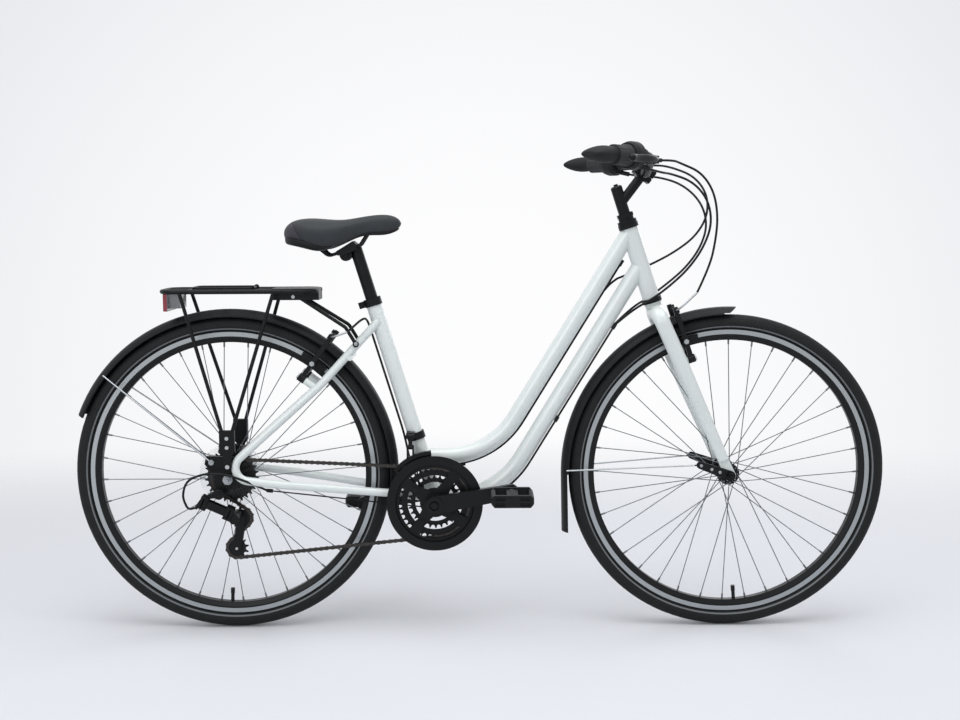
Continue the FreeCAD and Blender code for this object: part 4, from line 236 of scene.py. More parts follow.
def bright_within(finish, low, high):
    tree = finish.node_tree
    shader = tree.nodes["Principled BSDF"]
    place = add_node(tree, "ShaderNodeTexCoord")
    parts = add_node(tree, "ShaderNodeSeparateXYZ", {0: place.outputs["Object"]})
    out = add_node(tree, "ShaderNodeMath", {0: parts.outputs["Y"]}, operation="ABSOLUTE")
    inside = None
    for value, start, end in zip((parts.outputs["X"], out.outputs[0], parts.outputs["Z"]), low, high):
        near = add_node(tree, "ShaderNodeMath", {0: value, 1: (start + end) / 2, 2: (end - start) / 2},
                        operation="COMPARE")
        if inside is None:
            inside = near
        else:
            inside = add_node(tree, "ShaderNodeMath", {0: inside.outputs[0], 1: near.outputs[0]},
                              operation="MULTIPLY")
    black = shader.inputs["Base Color"].links[0].from_socket
    tone = add_node(tree, "ShaderNodeMix", {0: inside.outputs[0], 6: black, 7: linear("#b9bdbf")},
                    data_type="RGBA")
    tree.links.new(tone.outputs[2], shader.inputs["Base Color"])
    tree.links.new(inside.outputs[0], shader.inputs["Metallic"])
    return finish


powder_coat = satin_finish("black_powder_coat", *powder)
dress(powder_coat, "headset_cups", "headset_locknut", "seat_clamp", "stem", "handlebar", "crank_arms",
      "seatpost", "front_derailleur_clamp", "front_derailleur_link", "derailleur_mount",
      "derailleur_outer_link", "derailleur_inner_link", "derailleur_knuckle", "rack_spring_clip",
      "right_brake_lever", "left_brake_lever", "front_hub", "rear_hub", "front_axle", "chainrings",
      "rear_dropouts")
dress(bright_within(satin_finish("rack_powder_coat", *powder), *rack_feet), "rear_rack")
dress(bright_within(satin_finish("cage_powder_coat", *powder), *cage_rivets), "derailleur_cage")
zinc = satin_finish("zinc_plated_steel", "#8f9498", "#b4b8bb", 0.34, 0.04, metallic=1.0)
dress(zinc, "rear_axle", "rear_mudguard_stays")
stainless = satin_finish("stainless_wire", "#5f6366", "#7d8184", 0.30, 0.02, metallic=1.0)
dress(stainless, "front_spokes", "rear_spokes")


# Moulded black parts: mudguards, pedals, gear housings and pulleys in nylon, and the cable sheath in PVC.
# Spark-eroded moulds leave a fine even grain, duller than the powder coat.
# The front guard's stay wires share its node and are bare steel.
nylon = ("#101112", "#1c1d1f", 0.46, 0.16)
stay_wires = ((0.18, 0.0246, 0.350), (0.468, 0.070, 0.380))
moulded = satin_finish("moulded_nylon", *nylon)
dress(moulded, "rear_mudguard", "right_pedal", "left_pedal", "guide_pulley", "tension_pulley")
dress(bright_within(satin_finish("guard_nylon_and_stay_wire", *nylon), *stay_wires), "front_mudguard")
dress(satin_finish("grey_black_nylon", "#191a1c", "#242527", 0.5, 0.16), "control_clamps")
pvc = satin_finish("pvc_sheath", "#101112", "#1a1b1c", 0.34, 0.03)
dress(pvc, "frame_cables")


# Drive: rolled steel sprockets and chain, browned and lightly oiled.
# Oil darkens the steel in patches a few millimetres across.
oil_mm = 7.0


def oiled_steel(name, dark, light, roughness):
    made, tree, shader = finish_of(name)
    place = add_node(tree, "ShaderNodeTexCoord")
    oil = add_node(tree, "ShaderNodeTexNoise",
                   {"Vector": place.outputs["Object"], "Scale": 1000 / oil_mm, "Detail": 4.0})
    tone = add_node(tree, "ShaderNodeMix", {0: oil.outputs[0], 6: linear(dark), 7: linear(light)},
                    data_type="RGBA")
    tree.links.new(tone.outputs[2], shader.inputs["Base Color"])
    shader.inputs["Metallic"].default_value = 1.0
    shader.inputs["Roughness"].default_value = roughness
    return made


dress(oiled_steel("browned_chain_steel", "#2a2827", "#55524f", 0.38), "chain")
dress(oiled_steel("browned_sprocket_steel", "#232323", "#4a4a4a", 0.42), "freewheel")


# Spider web and front derailleur cage: plates blanked and bent from black steel sheet.
# The web closes the middle of the spider, and the cage stands low over the guard disc, round the chain.
# The cage's inner plate is the deeper one, and two ears hang the cage from the link's lower pin.
drive_low, drive_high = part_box("chainrings")
drive_axis = (drive_low + drive_high) / 2
web_radius = 0.033
web_t = 0.002
web_y = -0.0485
plate_t = 0.0015
strip_steps = 20
cage_low = 0.107
inner_low = 0.097
cage_high = 0.115
roof_radius = cage_high - plate_t / 2
cage_from = 94.0
roof_to = 118.0
cage_to = 141.0
cage_right = -0.05245
cage_left = -0.04055
cage_middle = (cage_right + cage_left) / 2
cage_pin = Vector((-0.1517, cage_middle, 0.4136))
pin_radius = 0.002
pin_length = 0.016
ear_off = 0.0061
ear_t = 0.0038
ear_wide = 0.008
ear_top = cage_pin.z + 0.004
tail_radius = 0.110
tail_turn = radians(cage_to - 2.0)
along_x = (0, pi / 2, 0)
along_y = (pi / 2, 0, 0)


def change(made, name, kind, **settings):
    modifier = made.modifiers.new(name, kind)
    for key, value in settings.items():
        setattr(modifier, key, value)
    bpy.ops.object.modifier_apply(modifier=modifier.name)


def joined(name, pieces, finish):
    bpy.ops.object.select_all(action="DESELECT")
    for piece in pieces:
        piece.select_set(True)
    bpy.context.view_layer.objects.active = pieces[0]
    bpy.ops.object.join()
    made = bpy.context.object
    made.name = name
    made.data.name = name
    made.data.materials.clear()
    made.data.materials.append(finish)
    return made


def round_bar(place, radius, length, turn, sides=48):
    bpy.ops.mesh.primitive_cylinder_add(vertices=sides, radius=radius, depth=length, location=place,
                                        rotation=turn)
    return settled()


def arc_strip(start, end, radii, widths):
    bpy.ops.mesh.primitive_grid_add(x_subdivisions=strip_steps, y_subdivisions=1, size=1.0)
    strip = bpy.context.object
    for point in strip.data.vertices:
        turn = radians(start + (end - start) * (point.co.x + 0.5))
        part = point.co.y + 0.5
        radius = radii[0] + (radii[1] - radii[0]) * part
        out = widths[0] + (widths[1] - widths[0]) * part
        point.co = (drive_axis.x + radius * cos(turn), out, drive_axis.z + radius * sin(turn))
    change(strip, "thickness", "SOLIDIFY", thickness=plate_t, offset=0.0)
    return strip


cage_parts = [arc_strip(cage_from, cage_to, (low, cage_high), (out, out))
              for out, low in ((cage_right, cage_low), (cage_left, inner_low))]
cage_parts.append(arc_strip(cage_from, roof_to, (roof_radius, roof_radius), (cage_right, cage_left)))
for off in (-ear_off, ear_off):
    ear_x = cage_pin.x + off
    ear_foot = drive_axis.z + sqrt(roof_radius ** 2 - (ear_x - drive_axis.x) ** 2) - plate_t
    bpy.ops.mesh.primitive_cube_add(size=1.0, location=(ear_x, cage_middle, (ear_foot + ear_top) / 2),
                                    scale=(ear_t, ear_wide, ear_top - ear_foot))
    cage_parts.append(settled())
cage_parts.append(round_bar(cage_pin, pin_radius, pin_length, along_x))
tail = drive_axis + tail_radius * Vector((cos(tail_turn), 0.0, sin(tail_turn)))
cage_parts.append(round_bar((tail.x, cage_middle, tail.z), pin_radius, cage_left - cage_right, along_y))
mech_cage = joined("front_derailleur_plates", cage_parts, powder_coat)
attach(mech_cage, "front_mech_cage")
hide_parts("front_derailleur_cage")

web = round_bar((drive_axis.x, web_y, drive_axis.z), web_radius, web_t, along_y)
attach(joined("spider_web", [web], powder_coat), "crankset")


# Rims: rolled alloy, anodised black, with the brake track turned bright on each side.
# The turning leaves rings, drawn as coarse as they need to show, that catch the light as a pale band.
track_in = 0.3062
track_out = 0.3158
turning_mm = 0.9
wheel_plane = (1.0, 0.0, 1.0)
wheel_axis = (0.0, 1.0, 0.0)
front_middle = (0.546, 0.0, 0.349)
rear_middle = (-0.546, 0.0, 0.349)


def rim_finish(name, centre):
    made, tree, shader = finish_of(name)
    place = add_node(tree, "ShaderNodeTexCoord")
    moved = add_node(tree, "ShaderNodeVectorMath", {0: place.outputs["Object"], 1: centre},
                     operation="SUBTRACT")
    flat = add_node(tree, "ShaderNodeVectorMath", {0: moved.outputs["Vector"], 1: wheel_plane},
                    operation="MULTIPLY")
    radius = add_node(tree, "ShaderNodeVectorMath", {0: flat.outputs["Vector"]}, operation="LENGTH")
    inside = add_node(tree, "ShaderNodeMath", {0: radius.outputs["Value"], 1: track_in},
                      operation="GREATER_THAN")
    outside = add_node(tree, "ShaderNodeMath", {0: radius.outputs["Value"], 1: track_out},
                       operation="LESS_THAN")
    track = add_node(tree, "ShaderNodeMath", {0: inside.outputs[0], 1: outside.outputs[0]},
                     operation="MULTIPLY")
    tone = add_node(tree, "ShaderNodeMix", {0: track.outputs[0], 6: linear("#101213"), 7: linear("#a6abad")},
                    data_type="RGBA")
    tree.links.new(tone.outputs[2], shader.inputs["Base Color"])
    tree.links.new(track.outputs[0], shader.inputs["Metallic"])
    turned_way = add_node(tree, "ShaderNodeVectorMath", {0: flat.outputs["Vector"], 1: wheel_axis},
                          operation="CROSS_PRODUCT")
    tree.links.new(turned_way.outputs["Vector"], shader.inputs["Tangent"])
    shader.inputs["Anisotropic"].default_value = 0.6
    shader.inputs["Roughness"].default_value = 0.36
    shader.inputs["Specular IOR Level"].default_value = 0.22
    rings = add_node(tree, "ShaderNodeMath", {0: radius.outputs["Value"], 1: 2 * pi * 1000 / turning_mm},
                     operation="MULTIPLY")
    wave = add_node(tree, "ShaderNodeMath", {0: rings.outputs[0]}, operation="SINE")
    bump = add_node(tree, "ShaderNodeBump",
                    {"Height": wave.outputs[0], "Strength": 0.12, "Distance": 0.0001})
    tree.links.new(bump.outputs[0], shader.inputs["Normal"])
    return made


dress(rim_finish("front_rim_alloy", front_middle), "front_rim")
dress(rim_finish("rear_rim_alloy", rear_middle), "rear_rim")


# Tyres: 38 mm wide, moulded rubber with a shallow tread on the crown and ribbed sidewalls.
# Rubber is nearly black and dull, and a thin grey ring just above the rim is a painted highlight of the rim
# edge.
tread_from = 0.3385
tread_blend = 0.002
tread_count = 230.0
tread_slant = 5.0
rib_mm = 2.4
rib_share = 0.12
# Radius and half width of the painted highlight ring on the tyre, just above the rim.
highlight_radius = 0.3228
highlight_half = 0.0015
grime_mm = 16.7


def tyre_finish(name, centre):
    made, tree, shader = finish_of(name)
    place = add_node(tree, "ShaderNodeTexCoord")
    moved = add_node(tree, "ShaderNodeVectorMath", {0: place.outputs["Object"], 1: centre},
                     operation="SUBTRACT")
    parts = add_node(tree, "ShaderNodeSeparateXYZ", {0: moved.outputs["Vector"]})
    flat = add_node(tree, "ShaderNodeVectorMath", {0: moved.outputs["Vector"], 1: wheel_plane},
                    operation="MULTIPLY")
    radius = add_node(tree, "ShaderNodeVectorMath", {0: flat.outputs["Vector"]}, operation="LENGTH")
    angle = add_node(tree, "ShaderNodeMath", {0: parts.outputs["Z"], 1: parts.outputs["X"]},
                     operation="ARCTAN2")
    across = add_node(tree, "ShaderNodeMath", {0: parts.outputs["Y"]}, operation="ABSOLUTE")
    slant = add_node(tree, "ShaderNodeMath", {0: across.outputs[0], 1: tread_slant}, operation="MULTIPLY")
    lean = add_node(tree, "ShaderNodeMath", {0: angle.outputs[0], 1: slant.outputs[0]}, operation="ADD")
    turns = add_node(tree, "ShaderNodeMath", {0: lean.outputs[0], 1: tread_count}, operation="MULTIPLY")
    blocks = add_node(tree, "ShaderNodeMath", {0: turns.outputs[0]}, operation="SINE")
    cuts = add_node(tree, "ShaderNodeMapRange",
                    {"Value": blocks.outputs[0], "From Min": -0.5, "From Max": 0.1})
    crown = add_node(tree, "ShaderNodeMapRange",
                     {"Value": radius.outputs["Value"], "From Min": tread_from,
                      "From Max": tread_from + tread_blend})
    height = add_node(tree, "ShaderNodeMath", {0: cuts.outputs[0], 1: crown.outputs[0]},
                      operation="MULTIPLY")
    rib_turns = add_node(tree, "ShaderNodeMath", {0: radius.outputs["Value"], 1: 2 * pi * 1000 / rib_mm},
                         operation="MULTIPLY")
    ribs = add_node(tree, "ShaderNodeMath", {0: rib_turns.outputs[0]}, operation="SINE")
    side = add_node(tree, "ShaderNodeMath", {0: 1.0, 1: crown.outputs[0]}, operation="SUBTRACT")
    low_ribs = add_node(tree, "ShaderNodeMath", {0: ribs.outputs[0], 1: side.outputs[0]},
                        operation="MULTIPLY")
    relief = add_node(tree, "ShaderNodeMath", {0: low_ribs.outputs[0], 1: rib_share, 2: height.outputs[0]},
                      operation="MULTIPLY_ADD")
    bump = add_node(tree, "ShaderNodeBump",
                    {"Height": relief.outputs[0], "Strength": 0.7, "Distance": 0.0012})
    tree.links.new(bump.outputs[0], shader.inputs["Normal"])
    grime = add_node(tree, "ShaderNodeTexNoise",
                     {"Vector": place.outputs["Object"], "Scale": 1000 / grime_mm, "Detail": 4.0})
    tone = add_node(tree, "ShaderNodeMix", {0: grime.outputs[0], 6: linear("#141617"), 7: linear("#202223")},
                    data_type="RGBA")
    # Painted highlight: a thin grey ring at this radius stands for the light along the rim edge.
    line = add_node(tree, "ShaderNodeMath", {0: radius.outputs["Value"], 1: highlight_radius, 2: highlight_half},
                    operation="COMPARE")
    with_painted_highlight = add_node(tree, "ShaderNodeMix", {0: line.outputs[0], 6: tone.outputs[2], 7: linear("#6c7073")},
                     data_type="RGBA")
    tree.links.new(with_painted_highlight.outputs[2], shader.inputs["Base Color"])
    shader.inputs["Roughness"].default_value = 0.62
    shader.inputs["Specular IOR Level"].default_value = 0.2
    return made


dress(tyre_finish("front_tyre_rubber", front_middle), "front_tyre")
dress(tyre_finish("rear_tyre_rubber", rear_middle), "rear_tyre")


# Spoke protector: a thin disc of clear moulded acrylic between the sprockets and the spokes.
# It lets the spokes show through a faint grey, with light swirls from use.
swirl_mm = 14.0
acrylic, tree, shader = finish_of("clear_acrylic")
place = add_node(tree, "ShaderNodeTexCoord")
swirl = add_node(tree, "ShaderNodeTexNoise",
                 {"Vector": place.outputs["Object"], "Scale": 1000 / swirl_mm, "Detail": 3.0})
haze = add_node(tree, "ShaderNodeMapRange", {"Value": swirl.outputs[0], "To Min": 0.03, "To Max": 0.10})
tree.links.new(haze.outputs[0], shader.inputs["Roughness"])
shader.inputs["Base Color"].default_value = linear("#f3f5f5")
shader.inputs["Transmission Weight"].default_value = 1.0
shader.inputs["IOR"].default_value = 1.49
dress(acrylic, "spoke_protector")


# Grips and twist sleeves: moulded rubber over the bar ends, the sleeves a shade greyer.
# A fine grain keeps them dull.
grip_rubber = satin_finish("grip_rubber", "#1d1f20", "#282a2b", 0.66, 0.22)
dress(grip_rubber, "grips")
dress(satin_finish("sleeve_rubber", "#303133", "#3c3d3f", 0.62, 0.22),
      "right_twist_shifter", "left_twist_shifter")


# Brake arms: forged alloy in black, with bright bolts, anchor and bent noodle pipe.
# The bolts stand outside the arm's own width and the pipe inside it, so the finish follows that width.
# Heights along the arm, from its pivot, keep the pivot ends and the pads black.
arm_out = 0.0497
arm_in = 0.0375
pivot_radius = 0.270
noodle_up = 0.106
pad_bolt_up = 0.026
front_lean = 108.6
rear_lean = 53.6


def brake_finish(name, centre, lean):
    made, tree, shader = finish_of(name)
    up_arm = (cos(radians(lean)), 0.0, sin(radians(lean)))
    place = add_node(tree, "ShaderNodeTexCoord")
    parts = add_node(tree, "ShaderNodeSeparateXYZ", {0: place.outputs["Object"]})
    out = add_node(tree, "ShaderNodeMath", {0: parts.outputs["Y"]}, operation="ABSOLUTE")
    beyond = add_node(tree, "ShaderNodeMath", {0: out.outputs[0], 1: arm_out}, operation="GREATER_THAN")
    within = add_node(tree, "ShaderNodeMath", {0: out.outputs[0], 1: arm_in}, operation="LESS_THAN")
    moved = add_node(tree, "ShaderNodeVectorMath", {0: place.outputs["Object"], 1: centre},
                     operation="SUBTRACT")
    along = add_node(tree, "ShaderNodeVectorMath", {0: moved.outputs["Vector"], 1: up_arm},
                     operation="DOT_PRODUCT")
    high = add_node(tree, "ShaderNodeMath", {0: along.outputs["Value"], 1: pivot_radius + noodle_up},
                    operation="GREATER_THAN")
    pipe = add_node(tree, "ShaderNodeMath", {0: within.outputs[0], 1: high.outputs[0]}, operation="MULTIPLY")
    raised = add_node(tree, "ShaderNodeMath", {0: along.outputs["Value"], 1: pivot_radius + pad_bolt_up},
                      operation="GREATER_THAN")
    bolts = add_node(tree, "ShaderNodeMath", {0: beyond.outputs[0], 1: raised.outputs[0]},
                     operation="MULTIPLY")
    bright = add_node(tree, "ShaderNodeMath", {0: bolts.outputs[0], 1: pipe.outputs[0]}, operation="MAXIMUM")
    grain = add_node(tree, "ShaderNodeTexNoise",
                     {"Vector": place.outputs["Object"], "Scale": 1000 / powder_mm})
    tone = add_node(tree, "ShaderNodeMix",
                    {0: bright.outputs[0], 6: linear("#101112"), 7: linear("#aeb2b4")}, data_type="RGBA")
    tree.links.new(tone.outputs[2], shader.inputs["Base Color"])
    tree.links.new(bright.outputs[0], shader.inputs["Metallic"])
    bump = add_node(tree, "ShaderNodeBump",
                    {"Height": grain.outputs[0], "Strength": 0.08, "Distance": 0.0003})
    tree.links.new(bump.outputs[0], shader.inputs["Normal"])
    shader.inputs["Roughness"].default_value = 0.36
    shader.inputs["Specular IOR Level"].default_value = 0.2
    return made


dress(brake_finish("front_brake_alloy", front_middle, front_lean),
      "front_brake_arm_right", "front_brake_arm_left")
dress(brake_finish("rear_brake_alloy", rear_middle, rear_lean),
      "rear_brake_arm_right", "rear_brake_arm_left")


# Rear reflector: a red acrylic lens with moulded prisms, clipped into a grey hood.
# The prisms are cells a few millimetres across under a smooth face.
prism_mm = 3.2
lens_depth = 0.0085
lens_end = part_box("rear_reflector")[0].x + lens_depth
reflector, tree, shader = finish_of("red_acrylic_and_hood")
place = add_node(tree, "ShaderNodeTexCoord")
parts = add_node(tree, "ShaderNodeSeparateXYZ", {0: place.outputs["Object"]})
lens = add_node(tree, "ShaderNodeMath", {0: parts.outputs["X"], 1: lens_end}, operation="LESS_THAN")
prisms = add_node(tree, "ShaderNodeTexVoronoi",
                  {"Vector": place.outputs["Object"], "Scale": 1000 / prism_mm, "Randomness": 0.0})
glow = add_node(tree, "ShaderNodeMix",
                {0: prisms.outputs["Distance"], 6: linear("#6f0d22"), 7: linear("#a31b33")},
                data_type="RGBA")
tone = add_node(tree, "ShaderNodeMix", {0: lens.outputs[0], 6: linear("#6d6f72"), 7: glow.outputs[2]},
                data_type="RGBA")
tree.links.new(tone.outputs[2], shader.inputs["Base Color"])
bump = add_node(tree, "ShaderNodeBump",
                {"Height": prisms.outputs["Distance"], "Strength": 0.3, "Distance": 0.0005})
tree.links.new(bump.outputs[0], shader.inputs["Normal"])
shader.inputs["Roughness"].default_value = 0.22
shader.inputs["Coat Weight"].default_value = 0.6
dress(reflector, "rear_reflector")


# Saddle: a foam pad under stretched leatherette, on a moulded base whose dark edge shows below it.
# Each is drawn through rings from tail to nose: distance from the tail, half width, low edge and crown.
# The cover has a fine pebbled grain, and a sewn seam crosses each flank in front of the tail panel.
saddle_low, saddle_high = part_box("saddle")
saddle_tail = saddle_low.x
saddle_top = saddle_high.z
ring_points = 24
flank_power = 0.62
crown_power = 0.85
edge_power = 0.5
edge_from = 0.72
hollow = 0.75
tip_reach = 0.004
same_place = 1e-5
grain_mm = 1.7
cover_cloud_mm = 33.3
seam_slope = 0.58
seam_at = saddle_tail + 0.0366 + seam_slope * (saddle_top - 0.031)
grain_share = 0.25
pad_rings = (
    (0.003, 0.028, -0.047, -0.034), (0.010, 0.052, -0.051, -0.022), (0.026, 0.076, -0.053, -0.010),
    (0.054, 0.091, -0.064, -0.006), (0.078, 0.090, -0.076, -0.007), (0.098, 0.084, -0.080, -0.009),
    (0.130, 0.060, -0.065, -0.011), (0.158, 0.039, -0.050, -0.0065), (0.186, 0.029, -0.042, -0.0015),
    (0.218, 0.025, -0.041, 0.0015), (0.240, 0.022, -0.036, -0.002), (0.252, 0.013, -0.029, -0.010))
base_rings = (
    (0.005, 0.030, -0.057, -0.040), (0.012, 0.054, -0.064, -0.040), (0.026, 0.073, -0.066, -0.040),
    (0.054, 0.087, -0.072, -0.045), (0.078, 0.086, -0.079, -0.050), (0.098, 0.079, -0.078, -0.050),
    (0.130, 0.054, -0.064, -0.040), (0.158, 0.035, -0.050, -0.030), (0.186, 0.027, -0.044, -0.028),
    (0.218, 0.023, -0.046, -0.030), (0.238, 0.019, -0.040, -0.028), (0.248, 0.011, -0.034, -0.027))


def close_ring(reach):
    bpy.ops.mesh.extrude_region_move(TRANSFORM_OT_translate={"value": (reach, 0.0, 0.0)})
    bpy.ops.mesh.merge(type="CENTER")


def form_of_rings(name, rings):
    bpy.ops.mesh.primitive_circle_add(vertices=ring_points, radius=1.0, rotation=along_x)
    made = settled()
    made.name = name
    for point in made.data.vertices:
        out = point.co.y
        rise = point.co.z
        point.co.y = copysign(abs(out) ** flank_power, out)
        if rise >= 0:
            point.co.z = rise ** crown_power
        elif abs(out) < edge_from:
            point.co.z = hollow * (1 - (out / edge_from) ** 2) - 1
        else:
            point.co.z = -abs(rise) ** edge_power
    bpy.ops.object.mode_set(mode="EDIT")
    bpy.ops.mesh.select_all(action="SELECT")
    before = (0.0, 1.0, 1.0, 0.0)
    for step, (along, half, low, crown) in enumerate(rings):
        here = (saddle_tail + along, half, (crown - low) / 2, saddle_top + (crown + low) / 2)
        shift = (here[0] - before[0], 0.0, here[3] - before[3])
        if step:
            bpy.ops.mesh.extrude_region_move(TRANSFORM_OT_translate={"value": shift})
        else:
            bpy.ops.transform.translate(value=shift)
        bpy.ops.transform.resize(value=(1.0, here[1] / before[1], here[2] / before[2]),
                                 center_override=(here[0], 0.0, here[3]))
        before = here
    close_ring(tip_reach)
    first = saddle_tail + rings[0][0]
    bpy.ops.object.mode_set(mode="OBJECT")
    for edge in made.data.edges:
        edge.select = all(abs(made.data.vertices[i].co.x - first) < same_place for i in edge.vertices)
    bpy.ops.object.mode_set(mode="EDIT")
    close_ring(-tip_reach)
    bpy.ops.mesh.select_all(action="SELECT")
    bpy.ops.mesh.normals_make_consistent(inside=False)
    bpy.ops.object.mode_set(mode="OBJECT")
    change(made, "rounding", "SUBSURF", levels=2, render_levels=2)
    bpy.ops.object.shade_smooth()
    return made


pad = form_of_rings("saddle_pad", pad_rings)
base = form_of_rings("saddle_base", base_rings)

leatherette, tree, shader = finish_of("pebbled_leatherette")
place = add_node(tree, "ShaderNodeTexCoord")
pebble = add_node(tree, "ShaderNodeTexVoronoi",
                  {"Vector": place.outputs["Object"], "Scale": 1000 / grain_mm})
cloud = add_node(tree, "ShaderNodeTexNoise",
                 {"Vector": place.outputs["Object"], "Scale": 1000 / cover_cloud_mm, "Detail": 3.0})
parts = add_node(tree, "ShaderNodeSeparateXYZ", {0: place.outputs["Object"]})
slope = add_node(tree, "ShaderNodeMath", {0: parts.outputs["Z"], 1: seam_slope, 2: parts.outputs["X"]},
                 operation="MULTIPLY_ADD")
from_seam = add_node(tree, "ShaderNodeMath", {0: slope.outputs[0], 1: seam_at}, operation="SUBTRACT")
off_seam = add_node(tree, "ShaderNodeMath", {0: from_seam.outputs[0]}, operation="ABSOLUTE")
groove = add_node(tree, "ShaderNodeMapRange",
                  {"Value": off_seam.outputs[0], "From Min": 0.0004, "From Max": 0.0016})
tail_panel = add_node(tree, "ShaderNodeMapRange",
                      {"Value": from_seam.outputs[0], "From Min": 0.001, "From Max": -0.001})
cover = add_node(tree, "ShaderNodeMix", {0: cloud.outputs[0], 6: linear("#2c2e31"), 7: linear("#363a3d")},
                 data_type="RGBA")
tail_cover = add_node(tree, "ShaderNodeMix",
                      {0: cloud.outputs[0], 6: linear("#37363b"), 7: linear("#434148")}, data_type="RGBA")
panels = add_node(tree, "ShaderNodeMix",
                  {0: tail_panel.outputs[0], 6: cover.outputs[2], 7: tail_cover.outputs[2]},
                  data_type="RGBA")
sewn = add_node(tree, "ShaderNodeMix", {0: groove.outputs[0], 6: linear("#1d1e20"), 7: panels.outputs[2]},
                data_type="RGBA")
tree.links.new(sewn.outputs[2], shader.inputs["Base Color"])
relief = add_node(tree, "ShaderNodeMath",
                  {0: pebble.outputs["Distance"], 1: grain_share, 2: groove.outputs[0]},
                  operation="MULTIPLY_ADD")
bump = add_node(tree, "ShaderNodeBump", {"Height": relief.outputs[0], "Strength": 0.35, "Distance": 0.0008})
tree.links.new(bump.outputs[0], shader.inputs["Normal"])
shader.inputs["Roughness"].default_value = 0.58
shader.inputs["Specular IOR Level"].default_value = 0.25
pad.data.materials.append(leatherette)
base.data.materials.append(satin_finish("saddle_base_polypropylene", "#141516", "#1e1f21", 0.5, 0.14))
for piece in (pad, base):
    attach(piece, "seat")
    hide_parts("saddle")


# Mudguard edges: the moulded sheet is rolled over at its rim, a bead on each side of the tyre's crown.
# Each bead is an arc about the axle, from one end of its guard to the other, in degrees from straight ahead.
edge_radius = 0.3510
edge_out = 0.0230
bead_d = 0.0048
arc_step = 4.0
guards = (
    ("rear", rear_middle, -8.0, 158.4, "frame"),
    ("front", front_middle, 92.0, 180.5, "steering"))


def shown(piece):
    scene.collection.objects.link(piece)
    return piece


def line_through(name, kind, places):
    line = bpy.data.curves.new(name, "CURVE")
    line.dimensions = "3D"
    line.bevel_resolution = 3
    line.use_fill_caps = True
    run = line.splines.new(kind)
    run.points.add(len(places) - 1)
    for point, (x, y, z) in zip(run.points, places):
        point.co = (x, y, z, 1.0)
    return line, run


def arc_bead(name, centre, start, end, out):
    count = int((end - start) / arc_step)
    turns = [radians(start + (end - start) * step / count) for step in range(count + 1)]
    places = [(centre[0] + edge_radius * cos(turn), out, centre[2] + edge_radius * sin(turn))
              for turn in turns]
    line = line_through(name, "POLY", places)[0]
    line.bevel_depth = bead_d / 2
    line.materials.append(moulded)
    return shown(bpy.data.objects.new(name, line))


for guard, centre, start, end, body in guards:
    for side, out in (("right", -edge_out), ("left", edge_out)):
        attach(arc_bead(guard + "_guard_bead_" + side, centre, start, end, out), body)


# Small bolts: zinc-plated heads on the rack's struts and block and along the front guard's brackets.
# They are round-edged heads pressed against the face of the part that they hold.
head_height = 0.0026
head_sides = 20
rack_head = 0.0042
bracket_head = 0.0036
strut_eye = Vector((-0.267, 0.041, 0.640))
block_bolt = Vector((-0.4025, 0.030, 0.742))
head_rise = Vector((0.0, head_height / 2, 0.0))
bracket_from = Vector((0.546, 0.0605, 0.349))
bracket_to = Vector((0.480, 0.0605, 0.373))
bracket_shares = (0.35, 0.62, 0.97)


def bolt_heads(name, body, spots, sign, radius):
    turn = Vector((0.0, 0.0, 1.0)).rotation_difference(Vector((0.0, sign, 0.0))).to_euler()
    heads = []
    for spot in spots:
        head = round_bar((spot.x, sign * spot.y, spot.z), radius, head_height, turn, head_sides)
        change(head, "edge", "BEVEL", width=head_height / 4, segments=2)
        heads.append(head)
    made = joined(name, heads, zinc)
    made.data.shade_smooth()
    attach(made, body)


rack_spots = [spot + head_rise for spot in (strut_eye, block_bolt)]
bracket_spots = [bracket_from.lerp(bracket_to, share) for share in bracket_shares]
for side, sign in (("right", -1), ("left", 1)):
    bolt_heads("rack_bolts_" + side, "frame", rack_spots, sign, rack_head)
    bolt_heads("bracket_bolts_" + side, "steering", bracket_spots, sign, bracket_head)


# Brake wires: the bare steel inner wire from the bent pipe to the far arm, under a ribbed rubber boot.
# The wire runs to the left arm that it is clamped to but is not attached to any body; the boot stays with
# the pipe on the right arm.
wire_d = 0.0016
wire_sides = 10
wire_near = -0.0165
wire_far = 0.046
boot_ribs = 6
rib_pitch = 0.0044
rib_ring = 0.0024
rib_thick = 0.0024


def brake_wire(name, x, z, arm):
    wire_middle = (x, (wire_near + wire_far) / 2, z)
    wire = round_bar(wire_middle, wire_d / 2, wire_far - wire_near, along_y, wire_sides)
    wire.name = name + "_wire"
    wire.data.materials.append(stainless)
    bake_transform(wire)
    ribs = []
    for step in range(boot_ribs):
        bpy.ops.mesh.primitive_torus_add(major_radius=rib_ring, minor_radius=rib_thick, major_segments=24,
                                         minor_segments=10, rotation=along_y,
                                         location=(x, wire_near + rib_pitch * (step + 0.5), z))
        ribs.append(settled())
    boot = joined(name + "_boot", ribs, grip_rubber)
    boot.data.shade_smooth()
    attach(boot, arm + "_right")


brake_wire("front_brake", 0.4245, 0.7101, "front_arm")
brake_wire("rear_brake", -0.3199, 0.6556, "rear_arm")
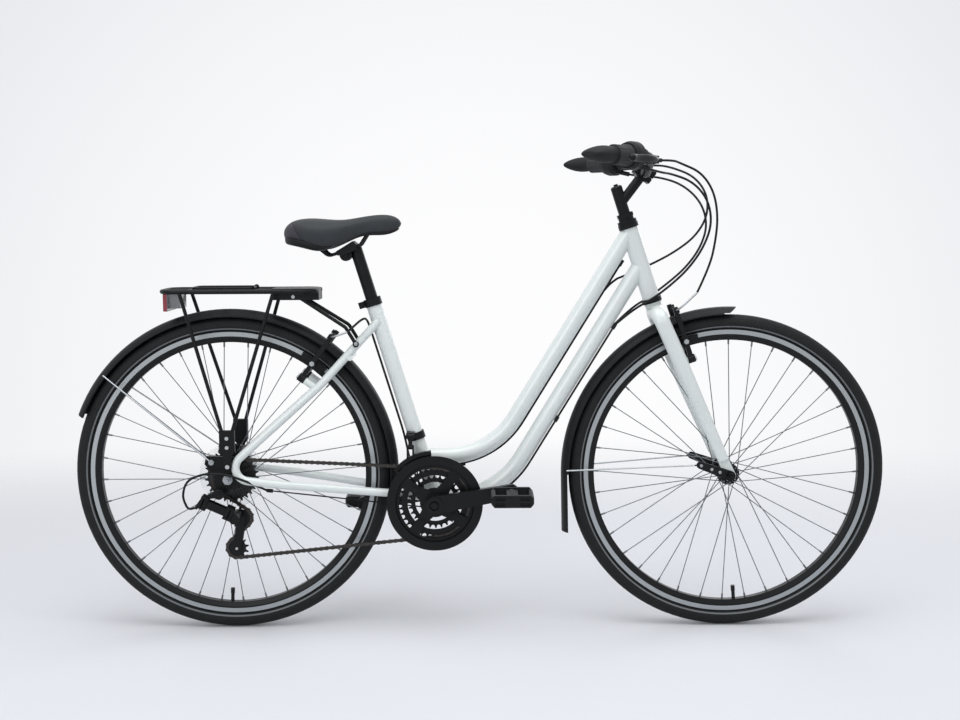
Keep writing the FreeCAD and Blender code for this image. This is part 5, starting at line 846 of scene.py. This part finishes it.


# Control cables: steel wire in a black PVC sheath, 5 mm thick, looped from the bar to frame and front brake.
# The front brake cable turns with the bar; the other three are curved runs between the bar and the frame,
# left as fixed meshes.
# Routes are in millimetres, and a short length joins the rear brake cable to its run along the upper tube.
cable_d = 0.005
front_brake_route = [
    (375.7, -140.1, 1025.8), (404, -119, 1027), (424, -86, 1022), (470, -70, 1004), (500, -58, 964),
    (510, -54, 912), (506, -55, 862), (494, -57, 805), (467, -61, 749.5)]
join_route = [(304, 17, 776), (291, 10, 768), (280, 6.5, 757), (273.8, 6, 750)]
rear_brake_route = [
    (375.7, 140.1, 1025.8), (404, 119, 1027), (432, 84, 1020), (478, 62, 1000), (504, 42, 960),
    (504, 34, 912), (478, 32, 868), (436, 32, 836), (392, 31, 812), (346, 28, 792), (304, 17, 776)]
shift_route = [
    (346.1, 164.8, 1007.6), (376, 141, 1001), (402, 100, 1000), (452, 78, 984), (490, 48, 946),
    (503, 26, 896), (488, 17, 846), (456, 20, 800), (416, 28, 764), (376, 29, 734), (334, 20, 710),
    (298.6, 6, 677)]
loops = (
    ("rear_brake_loop", rear_brake_route, 0.481, 0.795),
    ("right_gear_loop", [(x, -y, z) for x, y, z in shift_route], 0.566, 0.715),
    ("left_gear_loop", shift_route, 0.566, 0.715))


def cable_line(name, route):
    line, run = line_through(name, "NURBS", [(x / 1000, y / 1000, z / 1000) for x, y, z in route])
    run.order_u = 3
    run.use_endpoint_u = True
    run.resolution_u = 8
    return line


def sheathed(name, route):
    line = cable_line(name, route)
    line.bevel_depth = cable_d / 2
    line.materials.append(pvc)
    return shown(bpy.data.objects.new(name, line))


front_loop = sheathed("front_brake_loop", front_brake_route)
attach(front_loop, "steering")
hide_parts("front_brake_cable")
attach(sheathed("rear_brake_join", join_route), "frame")
for name, route, length, still_below in loops:
    line = cable_line(name + "_line", route)
    carrier = bpy.data.objects.new(name + "_line", line)
    middle = bpy.data.meshes.new_from_object(carrier)
    line.bevel_depth = cable_d / 2
    loop = shown(bpy.data.objects.new(name, bpy.data.meshes.new_from_object(carrier)))
    loop.data.name = name
    bpy.data.objects.remove(carrier)
    bpy.data.meshes.remove(middle)
    loop.data.materials.clear()
    loop.data.materials.append(pvc)
    loop.data.shade_smooth()
    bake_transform(loop)
    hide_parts("steering_cables")
